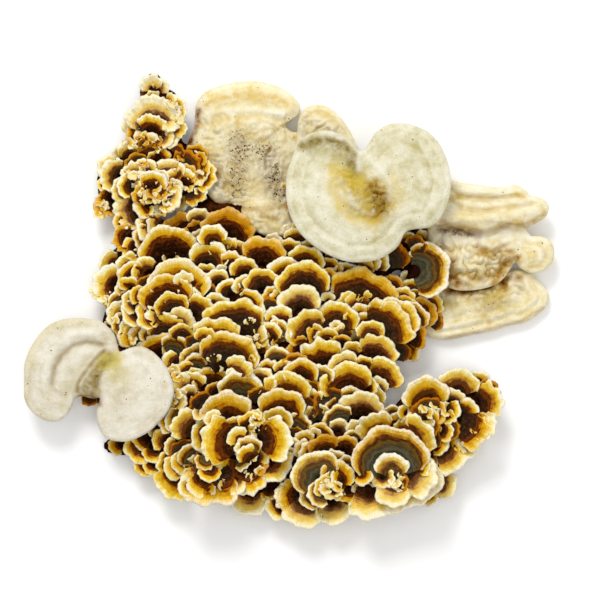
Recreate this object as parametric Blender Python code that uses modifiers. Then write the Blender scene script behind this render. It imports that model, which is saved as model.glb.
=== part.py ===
"""A dried clump of turkey tail fungus, cut off flat from its log and lying on the cut.

The golden, zoned shelves grew together on one lumpy mass, so they are one solid. Six pale
brackets are rooted in and beside that mass, each a solid of its own. Metres, +Z up, and the
origin is under the middle of the clump, on the cut.
"""

import math
from collections import namedtuple

import bmesh
import bpy
from mathutils import Matrix, Vector

# Places in plan are counted in half millimetres, x to the right and y towards the clump's
# near edge, from a corner beyond its far left. Heights and thicknesses are in millimetres.
PLAN_UNIT = 0.0005
PLAN_MIDDLE_X, PLAN_MIDDLE_Y = 289.5, 301.0
MM = 0.001

SHELF_THICKNESS = 2.0
SHELF_SLOPE = 0.42      # rise over run, from a shelf's root to its margin
ROOT_BACK = 0.35        # how far the root lies behind the middle of the margin's arc, in reaches
ROOT_WIDTH = 0.22       # width of a shelf at its root, against its margin
ROOT_DEPTH = 2.6        # how deep the root sits in the mass
LOWEST_ROOT = 1.2       # no root starts nearer to the cut than this
SIDE_DROP = 0.3         # how much less a shelf rises at its sides than in its middle
WIDE_SHELVES = 22, 33   # reaches from which a shelf gets one more facet across
DEEP_SHELF = 35         # reach from which it gets a second row of them
FIT_GAP = 0.35          # between a pale bracket and the mass around its root
CUT_HEIGHT = 120        # anything above the cut and below this is kept

HILL_SIDES, HILL_ROWS = 9, 6
LOBE_ROWS = 6
TINY = 1e-6

Hill = namedtuple("Hill", "x y half_x half_y height")
Shelf = namedtuple("Shelf", "x y reach faces spread")
Lobe = namedtuple("Lobe", "x y crown edge thickness foot narrowing outline")

# The mass that the shelves grew from: low lumps that run together, each half an ellipsoid.
HILLS = [
    Hill(265, 300, 128, 76, 19),
    Hill(350, 225, 76, 66, 21),
    Hill(148, 300, 44, 50, 15),
    Hill(385, 318, 40, 46, 17),
    Hill(300, 375, 104, 42, 18),
    Hill(240, 440, 92, 58, 19),
    Hill(340, 462, 92, 50, 19),
    Hill(440, 420, 52, 38, 17),
    Hill(168, 450, 44, 32, 12),
    Hill(235, 215, 50, 26, 12),
    Hill(146, 183, 40, 30, 15),
    Hill(153, 128, 27, 40, 14),
    Hill(188, 172, 24, 32, 12),
    Hill(137, 235, 22, 32, 12),
    Hill(423, 268, 22, 26, 14),
    Hill(250, 442, 34, 30, 27),
    Hill(327, 482, 24, 22, 26),
    Hill(392, 474, 30, 26, 28),
    Hill(152, 92, 14, 22, 10),
    Hill(168, 120, 16, 34, 12),
    Hill(112, 185, 18, 30, 10),
    Hill(188, 226, 30, 14, 10),
    Hill(183, 388, 24, 42, 13),
    Hill(430, 300, 14, 38, 9),
    Hill(470, 400, 34, 30, 14),
    Hill(310, 488, 66, 36, 12),
    Hill(208, 468, 56, 34, 12),
    Hill(405, 478, 52, 34, 12),
]

# Shelves, group by group, and in each group from the lowest to the one that lies on all others.
# A shelf's margin is an arc of its reach about x, y, which faces anticlockwise degrees from the
# clump's right and spreads over the last number of degrees.
FAR_CLUSTER = [
    (155, 96, 24, 95, 90), (152, 122, 31, 90, 180), (122, 177, 24, 170, 200),
    (185, 165, 18, 60, 180), (190, 188, 20, 350, 180), (140, 203, 28, 165, 180),
    (164, 116, 20, 10, 170), (112, 200, 18, 200, 150), (128, 238, 18, 170, 150),
]
FAR_TIERS = [
    (185, 238, 28, 110, 120), (222, 244, 32, 85, 150), (214, 241, 18, 95, 190),
    (169, 258, 34, 95, 180), (262, 264, 29, 80, 130),
    (344, 262, 26, 80, 140), (385, 262, 26, 60, 140), (305, 266, 22, 75, 160),
    (208, 262, 23, 80, 170),
]
LEFT_COLUMN = [
    (114, 286, 24, 160, 150), (146, 272, 17, 130, 150), (120, 315, 16, 150, 160),
    (160, 358, 26, 115, 120), (142, 446, 20, 215, 160),
]
MIDDLE_TIERS = [
    (244, 273, 17, 95, 170), (178, 291, 34, 85, 180), (262, 288, 21, 95, 170),
    (304, 291, 31, 95, 170), (374, 306, 36, 60, 120), (345, 291, 24, 95, 160),
    (168, 306, 33, 105, 150), (421, 314, 18, 30, 200), (300, 308, 25, 95, 170),
    (392, 326, 30, 50, 130), (374, 338, 42, 45, 100), (312, 336, 28, 130, 140),
    (336, 326, 26, 85, 170), (255, 330, 31, 80, 100), (222, 334, 34, 120, 100),
    (219, 338, 24, 75, 150), (166, 338, 27, 95, 130),
]
NEAR_TIERS = [
    (177, 347, 18, 70, 150), (222, 359, 28, 80, 150), (321, 372, 35, 92, 90),
    (374, 360, 27, 65, 130), (184, 388, 16, 150, 160), (197, 366, 22, 150, 150),
    (301, 377, 20, 90, 190), (212, 387, 22, 100, 170), (380, 381, 25, 60, 150),
    (349, 393, 32, 105, 150), (285, 402, 32, 80, 120), (240, 398, 28, 90, 140),
    (365, 407, 27, 88, 140), (281, 416, 29, 85, 150), (361, 418, 28, 92, 150),
    (318, 421, 18, 90, 150), (180, 405, 18, 150, 160),
]
LOWER_LEFT_ROSETTE = [
    (213, 455, 52, 265, 80), (180, 475, 28, 228, 110), (195, 431, 26, 150, 100),
    (250, 494, 24, 270, 140), (206, 470, 28, 255, 140), (228, 422, 32, 100, 140),
    (277, 424, 18, 80, 180), (262, 440, 31, 5, 120), (236, 442, 36, 175, 110),
    (270, 460, 24, 320, 130), (246, 468, 28, 275, 110), (242, 468, 27, 215, 120),
    (234, 419, 17, 85, 160),
]
LOWER_RIGHT_ROSETTES = [
    (368, 482, 40, 275, 80), (306, 500, 30, 255, 110), (332, 503, 24, 275, 130),
    (300, 497, 24, 185, 130), (398, 460, 58, 300, 100), (458, 392, 25, 85, 150),
    (480, 403, 25, 15, 140), (427, 401, 26, 100, 180), (462, 425, 37, 328, 90),
    (462, 443, 20, 318, 130), (440, 447, 22, 345, 130), (404, 446, 34, 40, 100),
    (382, 440, 30, 120, 100), (325, 452, 19, 110, 150),
    (318, 477, 28, 125, 190), (336, 478, 20, 70, 180), (390, 465, 41, 95, 190),
    (408, 473, 30, 345, 120), (393, 486, 22, 268, 150), (391, 471, 20, 90, 170),
]
DARK_CAP = [(427, 270, 25, 10, 220)]
GOLDEN_SHELVES = (
    FAR_CLUSTER + FAR_TIERS + LEFT_COLUMN + MIDDLE_TIERS + NEAR_TIERS
    + LOWER_LEFT_ROSETTE + LOWER_RIGHT_ROSETTES + DARK_CAP
)

# The pale brackets: each is one or more lobes, given by a middle, the heights of its crown and
# edge, its thickness, the height its foot goes down to, how fast the foot narrows, and its rim.
PALE_BRACKETS = {
    "heart_bracket": [
        Lobe(368, 202, 39, 32, 3.0, 14, 4, [
            (362, 153), (351, 143), (335, 134), (318, 133), (303, 141), (294, 158), (288, 178),
            (288, 200), (293, 219), (304, 236), (325, 252), (350, 261), (376, 259), (396, 247),
            (406, 231), (430, 226), (444, 208), (449, 184), (443, 156), (428, 135), (400, 125),
            (378, 132),
        ]),
    ],
    "upper_bracket": [
        Lobe(246, 165, 15, 8, 3.0, -4, 0.4, [
            (193, 128), (186, 150), (202, 168), (218, 186), (238, 204), (262, 212), (288, 208),
            (299, 184), (299, 150), (292, 124), (262, 116), (222, 114),
        ]),
        Lobe(247, 103, 19, 14, 3.0, -4, 1.2, [
            (196, 120), (194, 106), (198, 95), (214, 87), (240, 81), (264, 82), (284, 89),
            (298, 103), (298, 113), (284, 121), (250, 121), (220, 122),
        ]),
        Lobe(222, 190, 11, 8, 3.0, -4, 0.6, [
            (206, 180), (207, 192), (216, 202), (230, 203), (240, 192), (236, 178), (220, 174),
        ]),
        Lobe(272, 213, 16, 13, 3.0, -4, 1.0, [
            (244, 206), (245, 219), (258, 232), (280, 236), (298, 231), (302, 216), (290, 205),
            (266, 202),
        ]),
    ],
    "small_bracket": [
        Lobe(326, 142, 18, 13, 3.0, -4, 0.8, [
            (303, 125), (303, 112), (312, 105), (327, 106), (342, 119), (353, 136), (357, 151),
            (344, 166), (322, 170), (304, 158),
        ]),
    ],
    "twin_bracket": [
        Lobe(74, 372, 23, 19, 3.5, 4, 3, [
            (112, 330), (93, 320), (70, 319), (48, 327), (33, 344), (24, 366), (23, 390),
            (30, 409), (46, 420), (62, 418), (74, 404), (92, 400), (112, 388), (118, 360),
        ]),
        Lobe(126, 394, 24, 21, 3.5, -4, 3, [
            (130, 349), (148, 350), (162, 362), (172, 380), (172, 399), (161, 420), (142, 435),
            (120, 441), (102, 434), (97, 415), (92, 396), (84, 380), (98, 362), (118, 353),
        ]),
    ],
    "folded_bracket": [
        Lobe(480, 191, 17, 12, 3.0, -4, 0.6, [
            (440, 188), (450, 179), (464, 183), (486, 185), (514, 184), (525, 190), (526, 199),
            (500, 202), (458, 201),
        ]),
        Lobe(500, 208, 20, 15, 3.0, -4, 0.8, [
            (440, 198), (468, 199), (500, 198), (530, 195), (546, 201), (549, 209), (542, 220),
            (526, 227), (500, 224), (454, 218),
        ]),
        Lobe(472, 219, 23, 18, 3.0, -4, 0.8, [
            (432, 212), (460, 208), (500, 208), (520, 214), (522, 224), (498, 229), (480, 234),
            (456, 228), (436, 224),
        ]),
        Lobe(478, 254, 21, 12, 3.0, -4, 0.5, [
            (432, 228), (476, 230), (516, 228), (528, 238), (526, 250), (514, 262), (502, 274),
            (478, 284), (456, 284), (442, 272), (432, 250),
        ]),
        Lobe(533, 255, 16, 12, 3.0, -4, 1.5, [
            (522, 243), (540, 236), (552, 242), (556, 254), (551, 266), (536, 273), (520, 264),
        ]),
    ],
    "lower_bracket": [
        Lobe(488, 308, 9, 6, 3.0, -4, 0.8, [
            (426, 334), (448, 340), (466, 338), (490, 331), (518, 325), (540, 313), (550, 299),
            (546, 286), (530, 276), (514, 280), (492, 288), (456, 291), (432, 300), (424, 316),
        ]),
    ],
}


def place(x, y, height):
    """A place in plan with a height in millimetres, as a point in metres."""
    return Vector((
        (x - PLAN_MIDDLE_X) * PLAN_UNIT,
        (PLAN_MIDDLE_Y - y) * PLAN_UNIT,
        height * MM,
    ))


def height_of_mass(x, y):
    """How high the mass stands at a place in plan, in millimetres."""
    height = 0.0
    for hill in HILLS:
        inside = 1 - ((x - hill.x) / hill.half_x) ** 2 - ((y - hill.y) / hill.half_y) ** 2
        height = max(height, hill.height * math.sqrt(max(inside, 0.0)))
    return height


def material(name, colour, roughness):
    made = bpy.data.materials.new(name)
    made.use_nodes = True
    shader = made.node_tree.nodes["Principled BSDF"]
    shader.inputs["Base Color"].default_value = (*colour, 1)
    shader.inputs["Roughness"].default_value = roughness
    return made


def new_object(name, builder, collection):
    """An object of this name from a bmesh, which is freed."""
    mesh = bpy.data.meshes.new(name)
    builder.to_mesh(mesh)
    builder.free()
    made = bpy.data.objects.new(name, mesh)
    collection.objects.link(made)
    return made


def baked(made, name, collection):
    """The object with its modifiers applied, as a new object; the old one is removed."""
    bpy.context.view_layer.update()
    evaluated = made.evaluated_get(bpy.context.evaluated_depsgraph_get())
    mesh = bpy.data.meshes.new_from_object(evaluated)
    bpy.data.objects.remove(made)
    mesh.name = name
    result = bpy.data.objects.new(name, mesh)
    collection.objects.link(result)
    return result


def hill_solid(builder, hill):
    """One lump of the mass, a whole ellipsoid whose lower half is cut off later."""
    size = Matrix.Diagonal((
        hill.half_x * PLAN_UNIT, hill.half_y * PLAN_UNIT, hill.height * MM, 1,
    ))
    bmesh.ops.create_uvsphere(
        builder, u_segments=HILL_SIDES, v_segments=HILL_ROWS, radius=1,
        matrix=Matrix.Translation(place(hill.x, hill.y, 0)) @ size,
    )


def shelf_back(shelf):
    """Where in plan a shelf's two straight sides would meet, behind its root."""
    facing = math.radians(shelf.faces)
    return (
        shelf.x - ROOT_BACK * shelf.reach * math.cos(facing),
        shelf.y + ROOT_BACK * shelf.reach * math.sin(facing),
    )


def shelf_plan(shelf, out, turn):
    """A shelf's point in plan. out is 0 at the root and 1 at the margin, and turn runs from -1
    to 1 across the shelf."""
    angle = math.radians(shelf.faces + turn * shelf.spread / 2)
    back_x, back_y = shelf_back(shelf)
    grown = ROOT_WIDTH + (1 - ROOT_WIDTH) * out
    return (
        back_x + grown * (shelf.x + shelf.reach * math.cos(angle) - back_x),
        back_y + grown * (shelf.y - shelf.reach * math.sin(angle) - back_y),
    )


def shelf_height(shelf, root, out, turn):
    """The height of a shelf's upper face, which rises from its root to its margin."""
    length = shelf.reach * (1 + ROOT_BACK) * PLAN_UNIT / MM
    rise = SHELF_SLOPE * length * (1 - SIDE_DROP * turn * turn)
    return root + SHELF_THICKNESS + rise * out * (1.3 - 0.3 * out)


def shelf_over(shelf, root, x, y):
    """The height of a shelf's upper face over a place in plan, or 0 beside the shelf."""
    back_x, back_y = shelf_back(shelf)
    away_x, away_y = x - back_x, back_y - y
    away = max(math.hypot(away_x, away_y), TINY)
    towards_x, towards_y = away_x / away, away_y / away
    middle_x, middle_y = shelf.x - back_x, back_y - shelf.y
    along = towards_x * middle_x + towards_y * middle_y
    margin = along + math.sqrt(along ** 2 - middle_x ** 2 - middle_y ** 2 + shelf.reach ** 2)
    angle = math.atan2(towards_y * margin - middle_y, towards_x * margin - middle_x)
    aside = math.remainder(angle - math.radians(shelf.faces), math.tau)
    turn = aside / math.radians(shelf.spread / 2)
    out = (away / margin - ROOT_WIDTH) / (1 - ROOT_WIDTH)
    if abs(turn) > 1 or not 0 <= out <= 1:
        return 0.0
    return shelf_height(shelf, root, out, turn)


def rooted(shelves):
    """Pairs each shelf with the height of its root, sunk in the mass or in the shelf below."""
    pairs = []
    for shelf in shelves:
        lowest = math.inf
        for side in (-1, 0, 1):
            x, y = shelf_plan(shelf, 0, side)
            under = height_of_mass(x, y)
            for other, root in pairs:
                under = max(under, shelf_over(other, root, x, y))
            lowest = min(lowest, under)
        pairs.append((shelf, max(lowest - ROOT_DEPTH, LOWEST_ROOT)))
    return pairs


def shelf_skin(builder, shelf, root):
    """A shelf's upper face, open, as a grid bent into a fan."""
    across = 3 + sum(shelf.reach >= wide for wide in WIDE_SHELVES)
    along = 2 if shelf.reach >= DEEP_SHELF else 1
    made = bmesh.ops.create_grid(builder, x_segments=across, y_segments=along, size=1)
    for vertex in made["verts"]:
        turn, out = -vertex.co.x, (vertex.co.y + 1) / 2
        vertex.co = place(*shelf_plan(shelf, out, turn), shelf_height(shelf, root, out, turn))


def lobe_solid(builder, lobe, swell=0.0):
    """A pale lobe: a sphere whose equator is drawn out to the rim and whose lower pole is the
    foot. swell grows it all round, for the pocket that it sits in."""
    sides = len(lobe.outline)
    made = bmesh.ops.create_uvsphere(builder, u_segments=sides, v_segments=LOBE_ROWS, radius=1)
    swell_plan = swell * MM / PLAN_UNIT
    for vertex in made["verts"]:
        x, y, z = vertex.co
        out = math.hypot(x, y) ** 2
        number = round(math.atan2(y, x) / math.tau * sides) % sides
        rim = Vector(lobe.outline[number]) - Vector((lobe.x, lobe.y))
        rim += rim.normalized() * swell_plan
        middle = lobe.edge - lobe.thickness / 2
        if z > TINY:
            height = lobe.edge + (lobe.crown - lobe.edge) * (1 - out)
        elif z < -TINY:
            height = lobe.edge - lobe.thickness - (
                (lobe.edge - lobe.thickness - lobe.foot) * (1 - out) ** lobe.narrowing
            )
        else:
            height = middle
        height += swell * z
        vertex.co = place(lobe.x + rim.x * out, lobe.y + rim.y * out, height)


def boolean(made, operation, others):
    """A Boolean with all objects of a collection. The solver is MANIFOLD, because with so many
    thin shells EXACT leaves edges that four faces share."""
    modifier = made.modifiers.new(operation.lower(), "BOOLEAN")
    modifier.operation = operation
    modifier.solver = "MANIFOLD"
    modifier.operand_type = "COLLECTION"
    modifier.collection = others


def new_collection(name):
    made = bpy.data.collections.new(name)
    bpy.context.scene.collection.children.link(made)
    return made


def hill_object(hill, collection):
    builder = bmesh.new()
    hill_solid(builder, hill)
    return new_object("hill", builder, collection)


def shelf_object(shelf, root, collection):
    builder = bmesh.new()
    shelf_skin(builder, shelf, root)
    skin = new_object("shelf_skin", builder, collection)
    thick = skin.modifiers.new("thickness", "SOLIDIFY")
    thick.thickness = SHELF_THICKNESS * MM
    thick.offset = -1
    return baked(skin, "shelf", collection)


def lobe_object(lobe, collection, swell=0.0):
    builder = bmesh.new()
    lobe_solid(builder, lobe, swell)
    if builder.calc_volume(signed=True) < 0:
        bmesh.ops.reverse_faces(builder, faces=builder.faces)
    return new_object("lobe", builder, collection)


def keep_largest(made):
    """Keeps the one outer surface, and drops loose chips and the skins of sealed hollows."""
    builder = bmesh.new()
    builder.from_mesh(made.data)
    left = set(builder.faces)
    islands = []
    while left:
        start = left.pop()
        island, border = {start}, [start]
        while border:
            for edge in border.pop().edges:
                for face in edge.link_faces:
                    if face not in island:
                        island.add(face)
                        border.append(face)
        left -= island
        islands.append(island)
    islands.sort(key=len)
    loose = [face for island in islands[:-1] for face in island]
    bmesh.ops.delete(builder, geom=loose, context="FACES")
    builder.to_mesh(made.data)
    builder.free()


def joined(name, pieces, above_cut, parts):
    """All objects of a collection joined in one, with what lies below the cut taken off."""
    first, *rest = pieces.objects
    others = new_collection(name + "_joined")
    for piece in rest:
        pieces.objects.unlink(piece)
        others.objects.link(piece)
    if rest:
        boolean(first, "UNION", others)
    boolean(first, "INTERSECT", above_cut)
    return baked(first, name, parts)


def main():
    for old in list(bpy.data.objects):
        bpy.data.objects.remove(old)
    parts = new_collection("turkey_tail_fungus")

    above_cut = new_collection("above_cut")
    builder = bmesh.new()
    bmesh.ops.create_cube(builder, size=1, matrix=Matrix.LocRotScale(
        Vector((0, 0, CUT_HEIGHT * MM / 2)), None, Vector((1, 1, CUT_HEIGHT * MM)),
    ))
    new_object("above_cut", builder, above_cut)

    pale = material("velvety_pale_bracket", (0.80, 0.75, 0.58), 0.85)
    pockets = new_collection("pockets")
    for name, lobes in PALE_BRACKETS.items():
        pieces = new_collection(name + "_lobes")
        for lobe in lobes:
            lobe_object(lobe, pieces)
            lobe_object(lobe, pockets, FIT_GAP)
        joined(name, pieces, above_cut, parts).data.materials.append(pale)

    growth = new_collection("growth")
    for hill in HILLS:
        hill_object(hill, growth)
    for shelf, root in rooted([Shelf(*row) for row in GOLDEN_SHELVES]):
        shelf_object(shelf, root, growth)
    whole = joined("turkey_tail_whole", growth, above_cut, parts)
    boolean(whole, "DIFFERENCE", pockets)
    cluster = baked(whole, "turkey_tail_cluster", parts)
    keep_largest(cluster)
    cluster.data.materials.append(material("dry_golden_bracket", (0.55, 0.30, 0.06), 0.75))

    for made in list(bpy.data.objects):
        if made.name not in parts.objects:
            bpy.data.objects.remove(made)


main()
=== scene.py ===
import math
import random

import bmesh
import bpy
import numpy as np
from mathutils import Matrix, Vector, noise


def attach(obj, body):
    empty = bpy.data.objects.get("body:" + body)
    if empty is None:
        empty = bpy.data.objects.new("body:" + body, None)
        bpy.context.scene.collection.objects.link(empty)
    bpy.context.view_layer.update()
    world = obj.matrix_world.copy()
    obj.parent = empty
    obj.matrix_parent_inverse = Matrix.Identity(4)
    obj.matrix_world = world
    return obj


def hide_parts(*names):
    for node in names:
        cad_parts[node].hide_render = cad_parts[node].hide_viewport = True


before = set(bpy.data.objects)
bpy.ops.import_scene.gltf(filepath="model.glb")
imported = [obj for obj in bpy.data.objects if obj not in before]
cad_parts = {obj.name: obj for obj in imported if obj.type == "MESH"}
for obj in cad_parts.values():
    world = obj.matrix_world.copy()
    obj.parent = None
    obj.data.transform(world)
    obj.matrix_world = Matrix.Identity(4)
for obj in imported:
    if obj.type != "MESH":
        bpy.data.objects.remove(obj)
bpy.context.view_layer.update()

bpy.ops.object.select_all(action="DESELECT")

# ---------------------------------------------------------------------------------------------
# The lumpy mass that every shelf grew from, cut off flat from the log. It is tough brown flesh
# with rotten wood in it, and shows only in the gaps between the shelves and on the cut face.
# Places in plan are counted in half millimetres, and heights in millimetres.
# ---------------------------------------------------------------------------------------------
PLAN_UNIT = 0.0005
PLAN_MIDDLE_X, PLAN_MIDDLE_Y = 289.5, 301.0
MM = 0.001
FLOOR_GAP = 0.0002      # the lowest that any piece reaches, so that it doesn't fight the floor

HILLS = [               # x, y, half length, half width, height
    (265, 300, 128, 76, 19), (350, 225, 76, 66, 21), (148, 300, 44, 50, 15),
    (385, 318, 40, 46, 17), (300, 375, 104, 42, 18), (240, 440, 92, 58, 19),
    (340, 462, 92, 50, 19), (440, 420, 52, 38, 17), (168, 450, 44, 32, 12),
    (235, 215, 50, 26, 12), (146, 183, 40, 30, 15), (153, 128, 27, 40, 14),
    (188, 172, 24, 32, 12), (137, 235, 22, 32, 12), (423, 268, 22, 26, 14),
    (250, 442, 34, 30, 27), (327, 482, 24, 22, 26), (392, 474, 30, 26, 28),
    (152, 92, 14, 22, 10), (168, 120, 16, 34, 12), (112, 185, 18, 30, 10),
    (188, 226, 30, 14, 10), (183, 388, 24, 42, 13), (430, 300, 14, 38, 9),
    (470, 400, 34, 30, 14), (310, 488, 66, 36, 12), (208, 468, 56, 34, 12),
    (405, 478, 52, 34, 12),
    # Low edges of it, which carry the small shelves that stand out furthest.
    (126, 152, 13, 12, 3.9), (118, 262, 15, 16, 3.9), (112, 322, 13, 16, 3.9),
    (126, 347, 17, 14, 3.9), (108, 398, 25, 9, 3.9), (119, 447, 19, 11, 3.9),
]


def plan(x, y, height):
    """A place in plan with a height in millimetres, as a point in metres."""
    return Vector(((x - PLAN_MIDDLE_X) * PLAN_UNIT, (PLAN_MIDDLE_Y - y) * PLAN_UNIT, height * MM))


def height_of_mass(x, y):
    height = 0.0
    for hill_x, hill_y, half_x, half_y, top in HILLS:
        inside = 1 - ((x - hill_x) / half_x) ** 2 - ((y - hill_y) / half_y) ** 2
        height = max(height, top * math.sqrt(max(inside, 0.0)))
    return height


def linear(code):
    """A colour such as #C9951A as the linear values that shaders take."""
    values = [int(code[at:at + 2], 16) / 255 for at in (1, 3, 5)]
    return (*[v / 12.92 if v <= 0.04045 else ((v + 0.055) / 1.055) ** 2.4 for v in values], 1)


def add_node(tree, kind, settings={}, inputs={}, stops=None):
    """Adds a node with its settings, its inputs as values or links, and a ramp's colours."""
    made = tree.nodes.new(kind)
    for name, value in settings.items():
        setattr(made, name, value)
    for name, value in inputs.items():
        if isinstance(value, bpy.types.NodeSocket):
            tree.links.new(value, made.inputs[name])
        else:
            made.inputs[name].default_value = value
    if stops:
        while len(made.color_ramp.elements) < len(stops):
            made.color_ramp.elements.new(1)
        for element, (position, code) in zip(made.color_ramp.elements, stops):
            element.position = position
            element.color = linear(code) if isinstance(code, str) else (code, code, code, 1)
    return made


def new_material(name, roughness):
    made = bpy.data.materials.new(name)
    made.use_nodes = True
    shader = made.node_tree.nodes["Principled BSDF"]
    shader.inputs["Roughness"].default_value = roughness
    shader.inputs["Specular IOR Level"].default_value = 0.04
    return made


def place_output(tree):
    return add_node(tree, "ShaderNodeTexCoord").outputs["Object"]


def noise_node(tree, where, scale, detail, roughness=0.5):
    return add_node(tree, "ShaderNodeTexNoise", inputs={
        "Vector": where, "Scale": scale, "Detail": detail, "Roughness": roughness,
    })


def ramp(tree, share, stops):
    made = add_node(tree, "ShaderNodeValToRGB", inputs={"Fac": share}, stops=stops)
    return made.outputs["Color"]


def maths(tree, operation, *values, clamp=False):
    settings = {"operation": operation, "use_clamp": clamp}
    return add_node(tree, "ShaderNodeMath", settings, dict(enumerate(values))).outputs["Value"]


def ranged(tree, value, from_min, from_max, to_min=0.0, to_max=1.0, kind="LINEAR"):
    return add_node(tree, "ShaderNodeMapRange", {"interpolation_type": kind}, {
        "Value": value, "From Min": from_min, "From Max": from_max,
        "To Min": to_min, "To Max": to_max,
    }).outputs["Result"]


def mixed(tree, factor, first, second, blend="MIX"):
    return add_node(tree, "ShaderNodeMix", {"data_type": "RGBA", "blend_type": blend}, {
        "Factor": factor, 6: first, 7: second,
    }).outputs[2]


def attribute(tree, name):
    """The four values of one of the mesh's colour attributes."""
    made = add_node(tree, "ShaderNodeAttribute", {"attribute_name": name})
    parts = add_node(tree, "ShaderNodeSeparateColor", inputs={"Color": made.outputs["Color"]})
    return (*parts.outputs, made.outputs["Alpha"])


def finish_material(made, colour, height, strength, distance):
    """Links a material's colour, and its height as a bump."""
    tree = made.node_tree
    shader = tree.nodes["Principled BSDF"]
    bump = add_node(tree, "ShaderNodeBump", inputs={
        "Height": height, "Strength": strength, "Distance": distance,
    })
    tree.links.new(colour, shader.inputs["Base Color"])
    tree.links.new(bump.outputs["Normal"], shader.inputs["Normal"])
    return made


def finish_piece(piece, slot, *nodes):
    """Puts the piece's place in its mesh, smooths it, hangs it from the root body and hides
    the solids that it stands for.
    """
    bpy.ops.object.select_all(action="DESELECT")
    piece.select_set(True)
    bpy.context.view_layer.objects.active = piece
    bpy.ops.object.transform_apply(location=True, rotation=True, scale=True)
    bpy.ops.object.shade_smooth()
    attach(piece, "root")
    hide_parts(*nodes)


def join_pieces(pieces, name):
    bpy.ops.object.select_all(action="DESELECT")
    for piece in pieces:
        piece.select_set(True)
    bpy.context.view_layer.objects.active = pieces[0]
    if len(pieces) > 1:
        bpy.ops.object.join()
    joined = bpy.context.view_layer.objects.active
    joined.name = name
    joined.data.name = name
    return joined


def apply_modifier(piece, kind, **settings):
    bpy.context.view_layer.objects.active = piece
    modifier = piece.modifiers.new(kind.lower(), kind)
    for name, value in settings.items():
        setattr(modifier, name, value)
    bpy.ops.object.modifier_apply(modifier=modifier.name)


def read_all(items, name, width):
    """What all items of a mesh have under a name, one after another."""
    values = np.empty(len(items) * width)
    items.foreach_get(name, values)
    return values


def store_colours(mesh, name, values):
    stored = mesh.color_attributes.new(name, "FLOAT_COLOR", "POINT")
    stored.data.foreach_set("color", values.ravel())


def rotten_wood_material():
    """Soft brown flesh and rotten wood: dull, very dark in the hollows, with ochre fibres."""
    made = new_material("rotten_wood_and_flesh", 0.9)
    tree = made.node_tree
    where = place_output(tree)
    patches = noise_node(tree, where, 140.0, 6.0, 0.65).outputs["Fac"]
    colour = ramp(tree, patches, [
        (0.32, "#160602"), (0.50, "#2C0F04"), (0.62, "#4E2408"), (0.78, "#8A5418"),
    ])
    grain = noise_node(tree, where, 900.0, 3.0).outputs["Fac"]
    return finish_material(made, colour, grain, 0.7, 0.0006)


HILL_SHRINK = 0.915     # the visible mass stays a little inside its solid
LUMP_SIZE = 0.0045
LUMP_HEIGHT = 0.0010
MASS_VOXEL = 0.0019

hills = []
for hill_x, hill_y, half_x, half_y, top in HILLS:
    bpy.ops.mesh.primitive_uv_sphere_add(
        segments=40, ring_count=24, radius=1, location=plan(hill_x, hill_y, 0),
        scale=(half_x * PLAN_UNIT * HILL_SHRINK, half_y * PLAN_UNIT * HILL_SHRINK,
               top * MM * HILL_SHRINK),
    )
    hills.append(bpy.context.active_object)
mass = join_pieces(hills, "lumpy_mass")
bpy.ops.object.transform_apply(location=True, rotation=True, scale=True)
apply_modifier(mass, "REMESH", mode="VOXEL", voxel_size=MASS_VOXEL)
places = [vertex.co.copy() for vertex in mass.data.vertices]
lumped = []
for place, vertex in zip(places, mass.data.vertex_normals):
    moved = place + vertex.vector * noise.noise(place / LUMP_SIZE) * LUMP_HEIGHT
    lumped += (moved.x, moved.y, max(moved.z, FLOOR_GAP))
mass.data.vertices.foreach_set("co", lumped)
mass.data.materials.append(rotten_wood_material())
finish_piece(mass, "golden_shelf", "turkey_tail_cluster")

# ---------------------------------------------------------------------------------------------
# The golden shelves: dry, leathery fans in zones of cream, gold, brown and olive, each rooted
# in the mass or in the shelf below and rising to a thin, wavy margin. Most stand where the
# solids' shelves do, and each is a grid bent into a fan and thickened.
# ---------------------------------------------------------------------------------------------
SHELF_THICKNESS = 2.0
SHELF_SLOPE = 0.42      # rise over run, from a shelf's root to its margin
ROOT_BACK = 0.35        # how far the root lies behind the middle of the margin's arc, in reaches
ROOT_WIDTH = 0.22       # width of a shelf at its root, against its margin
ROOT_DEPTH = 2.6        # how deep the root sits in the mass
LOWEST_ROOT = 1.2
LOWEST_FACE = 0.8
SIDE_DROP = 0.3         # how much less a shelf rises at its sides than in its middle
TINY = 1e-6

SHELF_MESH_MM = 0.74    # spacing of the grid along the margin
FEWEST_COLUMNS, MOST_COLUMNS = 9, 96
REACH_PER_ROW = 3.2
ROW_CURVE = 0.8         # under 1 it sets the grid's rows closer towards the margin
EDGES_X, EDGES_Y = (25, 554), (72, 530)     # just inside the solids' box in plan
MARGIN_GROWTH = 1.045   # how far beyond its arc a margin may reach
LOBE_DEPTH = 0.047      # how far the waves of the margin go back, in reaches
CRENATE_DEPTH = 0.65    # how far its small teeth go back, in half millimetres
CORNER_FROM = 0.80      # from here out to the side, the margin's corner is rounded off
CORNER_DEPTH = 0.22
LOBE_HEIGHT, RUFFLE_HEIGHT, RING_HEIGHT, FIBRE_HEIGHT = 0.22, 0.55, 0.13, 0.10
RUFFLE_REACH, MOST_RUFFLE = 22, 1.3         # small shelves are ruffled less high
LIP_WIDTH, LIP_DROP = 2.6, 1.15
BAND_BASE, BAND_SHARE = 7.0, 0.34   # the golden band's width in plan, a part of it per reach
BAND_REACH = 33         # beyond this reach a shelf's band grows no wider
UV_MM = 100             # how many millimetres one unit of the UV map is
THICK_AT_ROOT, THINS_BY, THINNEST = 1.05, 0.62, 0.3     # shares of the group's thickness

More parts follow.
